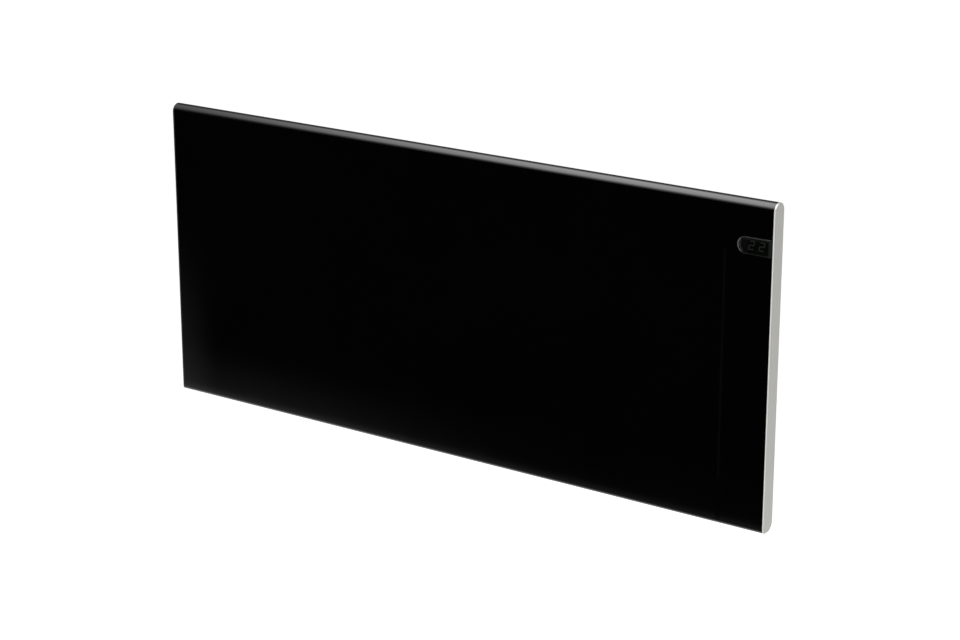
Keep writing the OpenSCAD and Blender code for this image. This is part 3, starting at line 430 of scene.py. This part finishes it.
def plain_metal(name, dark, light, low, high, along=(1, 1, 1)):
    """Metal with fine marks that may run along one axis."""
    f = Finish(name, Metallic=1.0)
    marks = f.noise(600, 3, f.stretched(*along))
    f.colour(f.noise(120, 3), dark, light)
    f.roughness(marks, low, high)
    return f.bump(marks, 0.004 * MM).material


def ceramic():
    """Unglazed cream steatite."""
    f = Finish("ceramic_cream", IOR=1.55)
    f.colour(f.noise(260, 4), (0.70, 0.66, 0.56), (0.80, 0.77, 0.68))
    f.roughness(f.noise(700, 3), 0.55, 0.75)
    return f.bump(f.noise(1600, 3), 0.02 * MM).material


def circuit_board():
    """Green solder mask with copper tracks just showing through."""
    f = Finish("circuit_board", IOR=1.5)
    cells = f.cells(150, f.stretched(1, 1, 0.25), "DISTANCE_TO_EDGE")
    tracks = f.span(cells.outputs["Distance"], 1, 0, 0.02, 0.06)
    f.colour(tracks, (0.012, 0.085, 0.032), (0.03, 0.17, 0.07))
    f.roughness(f.noise(300, 2), 0.22, 0.34)
    return f.bump(tracks, 0.02 * MM).material


def rubber(name, dark, light):
    """Matt rubber with a dusty bloom."""
    f = Finish(name, IOR=1.5)
    f.colour(f.noise(80, 4), dark, light)
    f.roughness(f.noise(350, 3), 0.70, 0.88)
    return f.bump(f.noise(1900, 3), 0.015 * MM).material


def white_ink():
    """Printed marks on the switch and the keys."""
    f = Finish("white_ink", IOR=1.5)
    f.colour(f.noise(700, 3), (0.62, 0.62, 0.60), (0.74, 0.74, 0.72))
    return f.roughness(f.noise(900, 2), 0.45, 0.6).material


FINISHES = {
    "front_black": gloss_enamel(),
    "cap_black": black_cap_finish(),
    "cap_silver": silver_lacquer(),
    "lens": smoked_lens(),
    "digits": lit_segments(),
    "back_black": powder_coat("back_powder_coat", (0.020, 0.020, 0.0205), (0.029, 0.029, 0.030)),
    "bracket_black": powder_coat("bracket_powder_coat", (0.028, 0.028, 0.029),
                                 (0.039, 0.039, 0.0405), 0.04),
    "dark_plastic": moulded("dark_plastic", (0.016, 0.017, 0.018), (0.026, 0.027, 0.028)),
    "key_grey": moulded("key_plastic", (0.045, 0.047, 0.05), (0.065, 0.067, 0.07), 0.34, 0.46),
    "cutout": moulded("cutout_bakelite", (0.02, 0.018, 0.016), (0.035, 0.03, 0.026), 0.28, 0.4),
    "parts_white": moulded("white_nylon", (0.62, 0.62, 0.59), (0.76, 0.76, 0.73), 0.38, 0.5),
    "relay_blue": moulded("relay_blue", (0.03, 0.14, 0.42), (0.045, 0.19, 0.52), 0.25, 0.36),
    "lead_insulation": moulded("lead_insulation", (0.52, 0.52, 0.50), (0.66, 0.66, 0.63),
                               0.45, 0.6),
    "mat_rubber": rubber("mat_rubber", (0.09, 0.095, 0.10), (0.13, 0.135, 0.14)),
    "black_rubber": rubber("black_rubber", (0.010, 0.010, 0.010), (0.020, 0.020, 0.020)),
    "board_green": circuit_board(),
    "ceramic": ceramic(),
    "galvanised": galvanised(),
    "zinc": plain_metal("zinc_plate", (0.55, 0.56, 0.58), (0.68, 0.69, 0.71), 0.2, 0.34),
    "black_screw": plain_metal("black_zinc", (0.035, 0.035, 0.037), (0.06, 0.06, 0.064),
                               0.28, 0.42),
    "spring_steel": plain_metal("spring_steel", (0.36, 0.36, 0.36), (0.46, 0.46, 0.46),
                                0.2, 0.34, (1, 8, 8)),
    "sheath": plain_metal("sheath_steel", (0.30, 0.27, 0.23), (0.42, 0.38, 0.34),
                          0.28, 0.42, (1, 8, 8)),
    "aluminium": plain_metal("aluminium", (0.66, 0.67, 0.68), (0.78, 0.79, 0.80),
                             0.24, 0.4, (0.1, 8, 8)),
    "brass": plain_metal("brass", (0.62, 0.44, 0.18), (0.74, 0.55, 0.26), 0.2, 0.36),
}
WHITE_INK = white_ink()


def finish_nodes():
    """Gives every CAD node the procedural finish of its slot."""
    for node in frame["nodes"].values():
        for material_slot in node.material_slots:
            slot = material_slot.material.name.split(".")[0]
            material_slot.material = FINISHES[slot]


def seam_dip(x, z):
    """How far the pressed seam sinks the front at a place."""
    across = min(1.0, abs(x - seam_x) / seam_half_w)
    low, high = z_bottom + front_corner_r, z_top - top_r
    along = max(0.0, min(1.0, (z - low) / seam_fade, (high - z) / seam_fade))
    return seam_depth * along * along * (3 - 2 * along) * (1 - across)


def pressed(x, path, face_y):
    """The path's points at x, sunk by the seam where they lie on the flat front."""
    off_face = 0.01 * MM
    return [(x, y + (seam_dip(x, z) if abs(y - face_y) < off_face else 0), z) for y, z in path]


def front_shell():
    """The pressed front: a thin sheet with a rolled top, its seam, window and screw holes."""
    inner = shell_path(panel_t, open_z0, open_z1)
    steps = range(-seam_steps, seam_steps + 1)
    middle = [panel_x0 + edge_r, *[seam_x + seam_half_w * i / seam_steps for i in steps],
              panel_x1 - edge_r]
    soft = 0.3 * edge_r
    stations = [(panel_x0, edge_r), (panel_x0 + soft, soft), *[(x, 0) for x in middle],
                (panel_x1 - soft, soft), (panel_x1, edge_r)]
    rings = []
    for x, inset in stations:
        outer = shell_path(inset, open_z0, open_z1)
        rings.append(pressed(x, outer, y_front) + pressed(x, inner, y_front + panel_t)[::-1])
    bm = bmesh.new()
    loft_sheet(bm, rings)
    shell = new_object("front_shell", bm)
    cut_away(shell, shell_cutter())
    shade(shell)
    stand_for(shell, "front_panel")


def screw_places(node, columns):
    """Where the node's screws sit (x, z), from the box round their heads."""
    low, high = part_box(node)
    x0, x1 = low.x + screw_head_r, high.x - screw_head_r
    return [(x0 + (x1 - x0) * i / (columns - 1), z) for i in range(columns)
            for z in (low.z + screw_head_r, high.z - screw_head_r)]


def shell_cutter():
    """The window's opening and the screw holes of the rear flanges, as one cutting solid."""
    past = 1 * MM
    bm = bmesh.new()
    loft(bm, [window_outline(window_hole_r, x_right, y)
              for y in (y_front - past, y_front + 2 * past)], ends=True)
    for place in screw_places("cap_screws", 2) + screw_places("cover_screws", 6):
        revolve(bm, place, [(screw_hole_r, y_back - 2 * past), (screw_hole_r, y_back + past)],
                steps=24)
    return new_object("shell_cutter", bm)


def window_outline(r, end_x, y):
    """A ring round the window: half a circle at its left end, and straight on to end_x."""
    ring = [(window_x + dx, y, window_z + dz) for dx, dz in arc((0, 0), r, 90, 270, steps=48)]
    return ring + [(end_x, y, window_z - r), (end_x, y, window_z + r)]


def end_cap(name, outer_x, inner_x, node, notched=False):
    """A moulded cap with a rounded edge, and its hollow plug, notched behind the window."""
    low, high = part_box(node)
    side, plug_end = (1, low.x) if outer_x > inner_x else (-1, high.x)
    tip_x, tip_inset = plug_tip
    face = [(inner_x, cap_lip_edge), (inner_x + side * cap_lip_edge, 0)]
    face += [(outer_x - side * cap_edge_r * (1 - math.sin(t)), cap_edge_r * (1 - math.cos(t)))
             for t in turns(0, 90, steps=8)]
    plug = [(inner_x, cap_lip_edge), (inner_x, plug_inset),
            (plug_end + side * tip_x, plug_inset), (plug_end, plug_inset + tip_inset),
            (plug_end, plug_inset + plug_wall), (inner_x, plug_inset + plug_wall)]
    bm = bmesh.new()
    for profile in (face, plug):
        rows = loft(bm, [[(x, y, z) for y, z in shell_path(inset, 0, 0)[:-1]]
                         for x, inset in profile])
        bm.faces.new(rows[-1])
    cap = new_object(name, bm)
    if notched:
        half = window_hole_r + notch_over
        bm = bmesh.new()
        slab(bm, (plug_end - notch_past, y_front - notch_past, window_z - half),
             (inner_x, y_front + notch_depth, window_z + half))
        cut_away(cap, new_object("window_notch", bm))
    shade(cap, angle=40)
    stand_for(cap, node)


def display_lens():
    """The sunk window: a small bead, a slope, a ledge, a fine step and the dark face."""
    floor_x = window_end_x - window_strip
    rings = [window_outline(window_r, window_end_x, lens_back_y)]
    for t in turns(0, 90, steps=6):
        rings.append(window_outline(window_r - window_bead * (1 - math.cos(t)), window_end_x,
                                    y_front + window_bead * (1 - math.sin(t))))
    r, sink = window_r - window_bead, 0.0
    rings.append(window_outline(r - bead_foot, floor_x, y_front))
    for width, drop in (window_slope, window_ledge, window_step):
        r, sink = r - width, sink + drop
        rings.append(window_outline(r, floor_x, y_front + sink))
    bm = bmesh.new()
    loft(bm, rings, ends=True)
    lens = new_object("display_lens", bm)
    shade(lens, angle=18)
    stand_for(lens, "display_window")


def key_mat():
    """The rubber mat under the keys, with a dome for each key."""
    low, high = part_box("key_mat")
    x, mat_y = (low.x + high.x) / 2, low.y + mat_t
    dome_h = high.y - mat_y
    bm = bmesh.new()
    slab(bm, low, (high.x, mat_y, high.z))
    mat = new_object("keys_mat", bm)
    shade(mat)
    stand_for(mat, "key_mat")
    for name in ("plus", "minus", "mode"):
        body = "key_" + name
        key_low, key_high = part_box(name + "_key")
        centre = (x, (key_low.z + key_high.z) / 2)
        bm = bmesh.new()
        revolve(bm, centre, [(r * MM, mat_y + share * dome_h) for r, share in DOME_PROFILE])
        dome = new_object(body + "_dome", bm)
        shade(dome, angle=50)
        apply_modifiers(dome)
        dress(dome, BODY_OF["key_mat"], SLOT_OF["key_mat"])
        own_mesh(dome)


def key_cap(name, marks):
    """A push key with a dished face and a rounded edge, and its raised mark."""
    node, body = name + "_key", "key_" + name
    low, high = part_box(node)
    x, z = (low.x + high.x) / 2, (low.z + high.z) / 2
    flange_r, flange_y = (high.x - low.x) / 2, low.y + key_flange_t
    top, face_r, dish_steps = high.y - mark_h, key_r - key_soft, 6
    profile = [(key_axis_r, low.y), (flange_r, low.y), (flange_r, flange_y), (key_r, flange_y)]
    profile += [(key_r - key_soft * (1 - math.cos(t)), top - key_soft * (1 - math.sin(t)))
                for t in turns(0, 90, steps=6)]
    profile += [(face_r - face_r * i / dish_steps,
                 top - key_dish * math.sin(math.pi / 2 * i / dish_steps))
                for i in range(1, dish_steps)]
    profile += [(key_axis_r, top - key_dish)]
    bm = bmesh.new()
    revolve(bm, (x, z), profile)
    key = new_object(body + "_cap", bm)
    shade(key, angle=40)
    stand_for(key, node)
    face_y = top - key_dish
    bm = bmesh.new()
    for half_w, half_h in marks:
        slab(bm, (x - half_w, face_y - mark_sink, z - half_h),
             (x + half_w, face_y + mark_h, z + half_h))
    mark = new_object(body + "_mark", bm)
    shade(mark)
    dress(mark, body, SLOT_OF[node], material=WHITE_INK)


def rocker_marks():
    """The plain bar and ring on the two halves of the rocker."""
    pivot = next(Vector(joint["pos_m"]) for joint in frame["joints"]
                 if joint["name"] == "rocker_swing")
    low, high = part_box("switch_housing")
    pivot.x = (low.x + high.x) / 2
    half_swing = math.radians(8)
    face_y, proud, sunk, reach = 3.6 * MM, 0.06 * MM, -0.2 * MM, 4.6 * MM
    bar_half_w, bar_half_h, ring_r, hole_r = 0.3 * MM, 1.5 * MM, 1.5 * MM, 1.0 * MM
    face = (Matrix.Translation(pivot) @ Matrix.Rotation(-half_swing, 4, "X")
            @ Matrix.Translation((0, face_y, 0)))
    lower, upper = [face @ Matrix.Rotation(side * half_swing, 4, "X") for side in (1, -1)]
    rings = [[lower @ Vector(p) for p in turned_ring((0, -reach), r, y, steps=32)]
             for r, y in ((ring_r, sunk), (ring_r, proud), (hole_r, proud), (hole_r, sunk))]
    bm = bmesh.new()
    loft(bm, rings + rings[:1])
    slab(bm, (-bar_half_w, sunk, reach - bar_half_h), (bar_half_w, proud, reach + bar_half_h),
         upper)
    marks = new_object("rocker_marks", bm)
    shade(marks)
    dress(marks, "rocker", SLOT_OF["power_rocker"], material=WHITE_INK)


def cable_gland():
    """The lead's gland: thread, chamfered hexagon, fluted clamping nut and a seal in its mouth."""
    low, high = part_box("cable_gland")
    centre = ((low.x + high.x) / 2, (low.z + high.z) / 2)
    seat, end, corner_r = cover_hi.y, high.y, (high.x - low.x) / 2
    bore_r, thread_r, thread_d, undercut, pitch = 4 * MM, 8 * MM, 0.6 * MM, 0.4 * MM, 1.5 * MM
    hex_h, chamfer = 4 * MM, 0.7 * MM
    hex_top = seat + hex_h
    nut_r, nut_soft, nut_rise, flute_d = 8.3 * MM, 0.5 * MM, 0.3 * MM, 0.45 * MM
    flutes, flute_start, flute_end = 12, 1.0 * MM, 5.2 * MM
    mouth_r, mouth_d, mouth_soft, mouth_round = 5.4 * MM, 1.0 * MM, 0.3 * MM, 2 * MM

    def hexagon(limit):
        """The hexagon's reach at an angle, cut to a limit by its chamfer."""
        flat_r = corner_r * math.cos(math.pi / 6)
        return lambda t: min(limit, flat_r / math.cos(t % (math.pi / 3) - math.pi / 6))

    def fluted(t):
        """The clamping nut's reach at an angle."""
        return nut_r - flute_d * max(0.0, math.cos(flutes * t)) ** 2

    profile = [(bore_r, low.y), (thread_r - chamfer, low.y)]
    for i in range(int((seat - low.y) / pitch)):
        profile += [(thread_r - thread_d, low.y + (i + 0.25) * pitch),
                    (thread_r, low.y + (i + 0.75) * pitch)]
    profile += [(thread_r - undercut, seat), (hexagon(corner_r - chamfer), seat),
                (hexagon(corner_r), seat + chamfer / 2), (hexagon(corner_r), hex_top - chamfer / 2),
                (hexagon(corner_r - chamfer), hex_top), (nut_r - nut_soft, hex_top),
                (nut_r, hex_top + nut_rise), (fluted, hex_top + flute_start),
                (fluted, hex_top + flute_end)]
    profile += [(nut_r - (nut_r - mouth_r) * (1 - math.cos(t)),
                 end - mouth_round * (1 - math.sin(t))) for t in turns(0, 90, steps=6)]
    profile += [(mouth_r - mouth_soft, end - mouth_d), (bore_r, end - mouth_d)]
    bm = bmesh.new()
    revolve_hollow(bm, centre, profile, steps=144)
    gland = new_object("gland_body", bm)
    shade(gland, angle=32)
    stand_for(gland, "cable_gland")

    seal_gap, seal_soft, seal_d = 0.35 * MM, 0.3 * MM, 0.4 * MM
    seal_r = mouth_r - seal_gap
    shoulder, back = end - seal_d - seal_soft, end - mouth_round
    bm = bmesh.new()
    revolve_hollow(bm, centre, [(bore_r, back), (seal_r, back), (seal_r, shoulder),
                                (seal_r - seal_soft, end - seal_d),
                                (bore_r + seal_soft, end - seal_d), (bore_r, shoulder)])
    seal = new_object("gland_seal", bm)
    shade(seal)
    dress(seal, BODY_OF["cable_gland"], "black_rubber")


def eased(corners, bend, steps=8):
    """A path through corner points with each corner drawn out into a bend."""
    path = [corners[0]]
    for before, at, after in zip(corners, corners[1:], corners[2:]):
        start = at + (before - at).normalized() * min(bend, (before - at).length / 2)
        end = at + (after - at).normalized() * min(bend, (after - at).length / 2)
        for i in range(steps + 1):
            t = i / steps
            path.append((1 - t) ** 2 * start + 2 * t * (1 - t) * at + t * t * end)
    return path + [corners[-1]]


def leads(node, r, bend, *runs):
    """Round insulated leads in smooth bends, in place of the node's straight runs."""
    curve = bpy.data.curves.new(node, "CURVE")
    curve.dimensions, curve.use_fill_caps = "3D", True
    curve.bevel_depth, curve.bevel_resolution = r, 4
    for corners in runs:
        path = eased([Vector(corner) for corner in corners], bend)
        spline = curve.splines.new("POLY")
        spline.points.add(len(path) - 1)
        for point, place in zip(spline.points, path):
            point.co = (*place, 1)
    holder = bpy.data.objects.new(node + "_curve", curve)
    bpy.context.scene.collection.objects.link(holder)
    graph = bpy.context.evaluated_depsgraph_get()
    mesh = bpy.data.meshes.new_from_object(holder.evaluated_get(graph))
    bpy.data.objects.remove(holder)
    piece = bpy.data.objects.new(node + "_bent", mesh)
    bpy.context.scene.collection.objects.link(piece)
    shade(piece)
    stand_for(piece, node)


def inner_leads():
    """The element's two leads through their grommet and up to the board, and the earth lead."""
    r, spread_z, spread_x = 1.25 * MM, 4 * MM, 10 * MM
    bend, earth_bend = 6 * MM, 8 * MM
    low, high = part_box("heater_leads")
    pins_low, pins_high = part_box("element_terminals")
    grommet_low, grommet_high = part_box("lead_grommet")
    pin_y, y = (pins_low.y + pins_high.y) / 2, low.y + r
    turn_x = (grommet_low.x + grommet_high.x) / 2
    runs = []
    for i in range(2):
        z, up_x = low.z + r + i * spread_z, high.x - r - i * spread_x
        runs.append([(pins_high.x, pin_y, z), (turn_x, pin_y, z), (turn_x, y, z), (up_x, y, z),
                     (up_x, y, high.z)])
    leads("heater_leads", r, bend, *runs)
    low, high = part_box("earth_lead")
    x, y, z = high.x - r, (low.y + high.y) / 2, high.z - r
    leads("earth_lead", r, earth_bend, [(x, y, low.z), (x, y, z), (low.x, y, z)])


def folded(corners, bend, half_t):
    """The closed outline of a sheet folded at the corners (x, y) of its middle line."""
    path = eased([Vector((*corner, 0)) for corner in corners], bend)
    sides = ([], [])
    for i, point in enumerate(path):
        run = path[min(i + 1, len(path) - 1)] - path[max(i - 1, 0)]
        out = Vector((-run.y, run.x, 0)).normalized() * half_t
        sides[0].append((point + out).to_tuple()[:2])
        sides[1].append((point - out).to_tuple()[:2])
    return sides[0] + sides[1][::-1]


def duct_casing():
    """The warm air duct: a folded hat section with a row of slots near its top."""
    low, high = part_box("duct_casing")
    t, flange, edge, bend = 0.8 * MM, 12 * MM, 0.2 * MM, 1.6 * MM
    x0, x1 = low.x + flange + t / 2, high.x - flange - t / 2
    y0, y1 = low.y + t / 2, high.y - t / 2
    middle = [(low.x, y0), (x0, y0), (x0, y1), (x1, y1), (x1, y0), (high.x, y0)]
    levels = ((low.z, t / 2 - edge), (low.z + edge, t / 2), (high.z - edge, t / 2),
              (high.z, t / 2 - edge))
    bm = bmesh.new()
    loft_sheet(bm, [[(x, y, z) for x, y in folded(middle, bend, half_t)] for z, half_t in levels])
    casing = new_object("casing", bm)
    cut_away(casing, slot_cutter(low, high, flange))
    shade(casing, angle=40)
    stand_for(casing, "duct_casing")


def slot_cutter(low, high, flange):
    """The duct's upright slots as one cutting solid, with none behind the bracket's arms."""
    slot_r, pitch, past, end_gap, arm_gap = 3 * MM, 25 * MM, 3 * MM, 60 * MM, 21 * MM
    z0, z1 = high.z - 50 * MM, high.z - 26 * MM
    count = int((high.x - low.x - 2 * flange - end_gap) / pitch)
    arms = [sum(corner.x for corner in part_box(side + "_bracket_arm")) / 2
            for side in ("left", "right")]
    outline = (arc((0, z1), slot_r, 0, 180, steps=16)
               + arc((0, z0), slot_r, 180, 360, steps=16))
    bm = bmesh.new()
    for i in range(count):
        x = (low.x + high.x) / 2 + (i - (count - 1) / 2) * pitch
        if min(abs(x - arm) for arm in arms) > arm_gap:
            loft(bm, [[(x + dx, y, z) for dx, z in outline]
                      for y in (high.y - past, high.y + past)], ends=True)
    return new_object("slot_cutter", bm)


def softened(node, width):
    """A CAD node again, with its sharp edges rounded as folds, mouldings and cuts are."""
    source = frame["nodes"][node]
    bm = bmesh.new()
    bm.from_mesh(source.data)
    bm.transform(source.matrix_world)
    bmesh.ops.remove_doubles(bm, verts=bm.verts, dist=1e-6)
    bmesh.ops.dissolve_limit(bm, angle_limit=math.radians(1), verts=bm.verts, edges=bm.edges)
    piece = new_object(node + "_rounded", bm)
    bevel = piece.modifiers.new("bevel", "BEVEL")
    bevel.width, bevel.segments = width, 2
    bevel.limit_method, bevel.angle_limit = "ANGLE", math.radians(30)
    bevel.use_clamp_overlap = False
    apply_modifiers(piece)
    shade(piece, angle=40)
    stand_for(piece, node)


def add_camera():
    """The main camera, at the photograph's angle."""
    camera = bpy.data.objects.new("camera", bpy.data.cameras.new("camera"))
    bpy.context.scene.collection.objects.link(camera)
    turn, drop = math.radians(AZIMUTH), math.radians(PITCH)
    ahead = Vector((-math.sin(turn) * math.cos(drop), math.cos(turn) * math.cos(drop),
                    -math.sin(drop)))
    camera.location = camera_target - ahead * DISTANCE
    camera.rotation_mode = "QUATERNION"
    camera.rotation_quaternion = ahead.to_track_quat("-Z", "Y")
    camera.data.lens, camera.data.sensor_width = LENS_MM, SENSOR_MM
    camera.data.clip_start, camera.data.clip_end = 0.05, 200
    bpy.context.scene.camera = camera


def shown_rays(tree):
    """1 for camera, glossy and transmission rays, and 0 for the rays that light things."""
    path = add_node(tree, "ShaderNodeLightPath")
    total = path.outputs["Is Camera Ray"]
    for other in ("Is Glossy Ray", "Is Transmission Ray"):
        inputs = {0: total, 1: path.outputs[other]}
        total = add_node(tree, "ShaderNodeMath", inputs, operation="MAXIMUM").outputs[0]
    return total


def ray_strength(tree, lighting, shown):
    """A strength that differs between the rays that light things and those that show them."""
    inputs = {"Value": shown_rays(tree), "To Min": lighting, "To Max": shown}
    return add_node(tree, "ShaderNodeMapRange", inputs).outputs["Result"]


def add_world():
    """A white room that shows brighter than it lights."""
    world = bpy.data.worlds.new("studio")
    bpy.context.scene.world = world
    world.use_nodes = True
    background = world.node_tree.nodes["Background"]
    background.inputs["Color"].default_value = (1, 1, 1, 1)
    strength = ray_strength(world.node_tree, lighting=0.28, shown=1.0)
    world.node_tree.links.new(strength, background.inputs["Strength"])


def studio_piece(name, bm, material):
    """A piece of the stage with its material."""
    piece = new_object(name, bm)
    piece.data.materials.append(material)
    return piece


def card(name, centre, across, along, material):
    """A flat studio card with two sides given as vectors."""
    bm = bmesh.new()
    a, b, c = Vector(across) / 2, Vector(along) / 2, Vector(centre)
    corners = ((-1, -1), (1, -1), (1, 1), (-1, 1))
    bm.faces.new([bm.verts.new(c + s * a + t * b) for s, t in corners])
    return studio_piece(name, bm, material)


def curved_card(name, centre, r, start, end, x0, x1, material):
    """A card bent round the X axis through a centre (y, z); 0 degrees is ahead of it, 90 above."""
    steps = turns(start, end, steps=32)
    bm = bmesh.new()
    loft(bm, [[(x, centre[0] - r * math.cos(t), centre[1] + r * math.sin(t)) for t in steps]
              for x in (x0, x1)], closed=False)
    piece = studio_piece(name, bm, material)
    piece.data.polygons.foreach_set("use_smooth", [True] * len(piece.data.polygons))
    return piece


def glossy_only(piece):
    """Lets a card show in reflections only."""
    piece.visible_camera = piece.visible_diffuse = piece.visible_shadow = False
    piece.visible_transmission = piece.visible_volume_scatter = False


def floor_material():
    """A pale floor that glows for the rays that show it and lights nothing."""
    material, tree = new_tree("pale_floor")
    inputs = tree.nodes["Principled BSDF"].inputs
    inputs["Base Color"].default_value = (0.82, 0.82, 0.82, 1)
    inputs["Roughness"].default_value = 0.9
    inputs["Emission Color"].default_value = (1, 1, 1, 1)
    strength = ray_strength(tree, lighting=0.0, shown=0.75)
    tree.links.new(strength, inputs["Emission Strength"])
    return material


def glow_material(name, *terms):
    """A glow that sums terms: each a strength and its smooth ramps (axis, from, to, values)."""
    material, tree = new_tree(name)
    tree.nodes.remove(tree.nodes["Principled BSDF"])
    coords = add_node(tree, "ShaderNodeTexCoord")
    place = add_node(tree, "ShaderNodeSeparateXYZ", {0: coords.outputs["Object"]})

    def combine(operation, first, second):
        """The result of one sum on two numbers or outputs."""
        return add_node(tree, "ShaderNodeMath", {0: first, 1: second},
                        operation=operation).outputs[0]

    def ramp(axis, low, high, low_value, high_value):
        """A value that eases from one place on an axis to another, and stays level past both."""
        inputs = {"Value": place.outputs[axis], "From Min": low, "From Max": high,
                  "To Min": low_value, "To Max": high_value}
        return add_node(tree, "ShaderNodeMapRange", inputs,
                        interpolation_type="SMOOTHSTEP").outputs["Result"]

    total = 0.0
    for level, ramps in terms:
        for settings in ramps:
            level = combine("MULTIPLY", ramp(*settings), level)
        total = combine("ADD", level, total)
    glow = add_node(tree, "ShaderNodeEmission", {"Strength": total})
    tree.links.new(glow.outputs[0], tree.nodes["Material Output"].inputs["Surface"])
    return material


def add_stage():
    """The floor, and the plain cards that the heater mirrors."""
    floor_z, floor_side = -2.0, 60.0
    card("floor", (0, 0, floor_z), (floor_side, 0, 0), (0, floor_side, 0), floor_material())
    # Black card that the front mirrors, with some glow at its far end, low down, and at the seam
    flag = glow_material(
        "front_flag",
        (0.15, [("X", -1.10, -1.00, 1.0, 0.0), ("Z", -0.52, -0.20, 1.0, 0.0)]),
        (0.10, [("X", -0.95, -0.30, 1.0, 0.1), ("Z", -0.53, -0.42, 1.0, 0.0)]),
        (0.58, [("X", -1.10, 0.00, 1.0, 0.2), ("Z", -0.80, -0.52, 1.0, 0.0)]),
        (0.50, [("X", -1.10, 0.00, 1.0, 0.5), ("Z", -0.53, -0.503, 1.0, 0.0)]),
        (0.22, [("X", 0.07, 0.10, 0.0, 1.0), ("X", 0.16, 0.22, 1.0, 0.0)]))
    glossy_only(card("front_flag", (0.35, -0.8, -0.31), (3.7, 0, 0), (0, 0, 1.48), flag))
    # Strip light in front of it, which the window's round end and the cap's edge mirror
    strip = glow_material(
        "strip_light",
        (2.3, [("X", 0.50, 0.82, 1.0, 0.0), ("Z", 0.25, 0.45, 1.0, 0.0)]))
    glossy_only(card("strip_light", (0.52, -0.79, -0.08), (0.6, 0, 0), (0, 0, 1.06), strip))
    # Dim card behind, for the dark line along the top edge
    back = glow_material("back_flag", (0.2, []))
    glossy_only(card("back_flag", (-0.3, 0.25, 0.25), (1.5, 0, 0), (0, 0, 0.54), back))
    # Bent soft box over the top edge, brighter to the right
    glow = glow_material(
        "overhead",
        (5.7, [("X", -1.45, -0.20, 0.18, 1.0), ("Y", -1.05, -0.55, 0.0, 1.0),
               ("Y", 0.0, 0.70, 1.0, 0.0)]))
    glossy_only(curved_card("overhead", (-0.07, 0.175), r=1.0, start=20, end=135,
                            x0=-2.2, x1=2.2, material=glow))


def lamp(name, place, aim, size, power):
    """A square lamp at a place, turned towards its aim and left out of reflections."""
    data = bpy.data.lights.new(name, "AREA")
    data.shape, data.size, data.energy = "SQUARE", size, power
    piece = bpy.data.objects.new(name, data)
    bpy.context.scene.collection.objects.link(piece)
    piece.location = place
    piece.rotation_mode = "QUATERNION"
    piece.rotation_quaternion = (Vector(aim) - Vector(place)).to_track_quat("-Z", "Y")
    piece.visible_glossy = False


def add_lamps():
    """A large key lamp from the front left, a small one by the cap and one from behind."""
    lamp("key", (-1.2, -2.4, 1.3), (0, 0, 0), size=1.6, power=142)
    lamp("side", (1.3, -0.4, -0.7), (0.4, 0, -0.1), size=0.5, power=5.5)
    lamp("rear", (0.6, 2.6, 1.5), (0, 0, 0), size=1.6, power=40)


finish_nodes()
end_cap("right_cap", x_right, panel_x1, "right_end_cap", notched=True)
end_cap("left_cap", x_left, panel_x0, "left_end_cap")
front_shell()
display_lens()
key_mat()
key_cap("plus", [(mark_reach, mark_stroke), (mark_stroke, mark_reach)])
key_cap("minus", [(mark_reach, mark_stroke)])
key_cap("mode", [(mark_dot, mark_dot)])
rocker_marks()
cable_gland()
inner_leads()
duct_casing()
for node_name, edge in SOFT_EDGES.items():
    softened(node_name, edge * MM)

add_camera()
add_world()
add_stage()
add_lamps()
bpy.context.scene.view_settings.view_transform = "Standard"
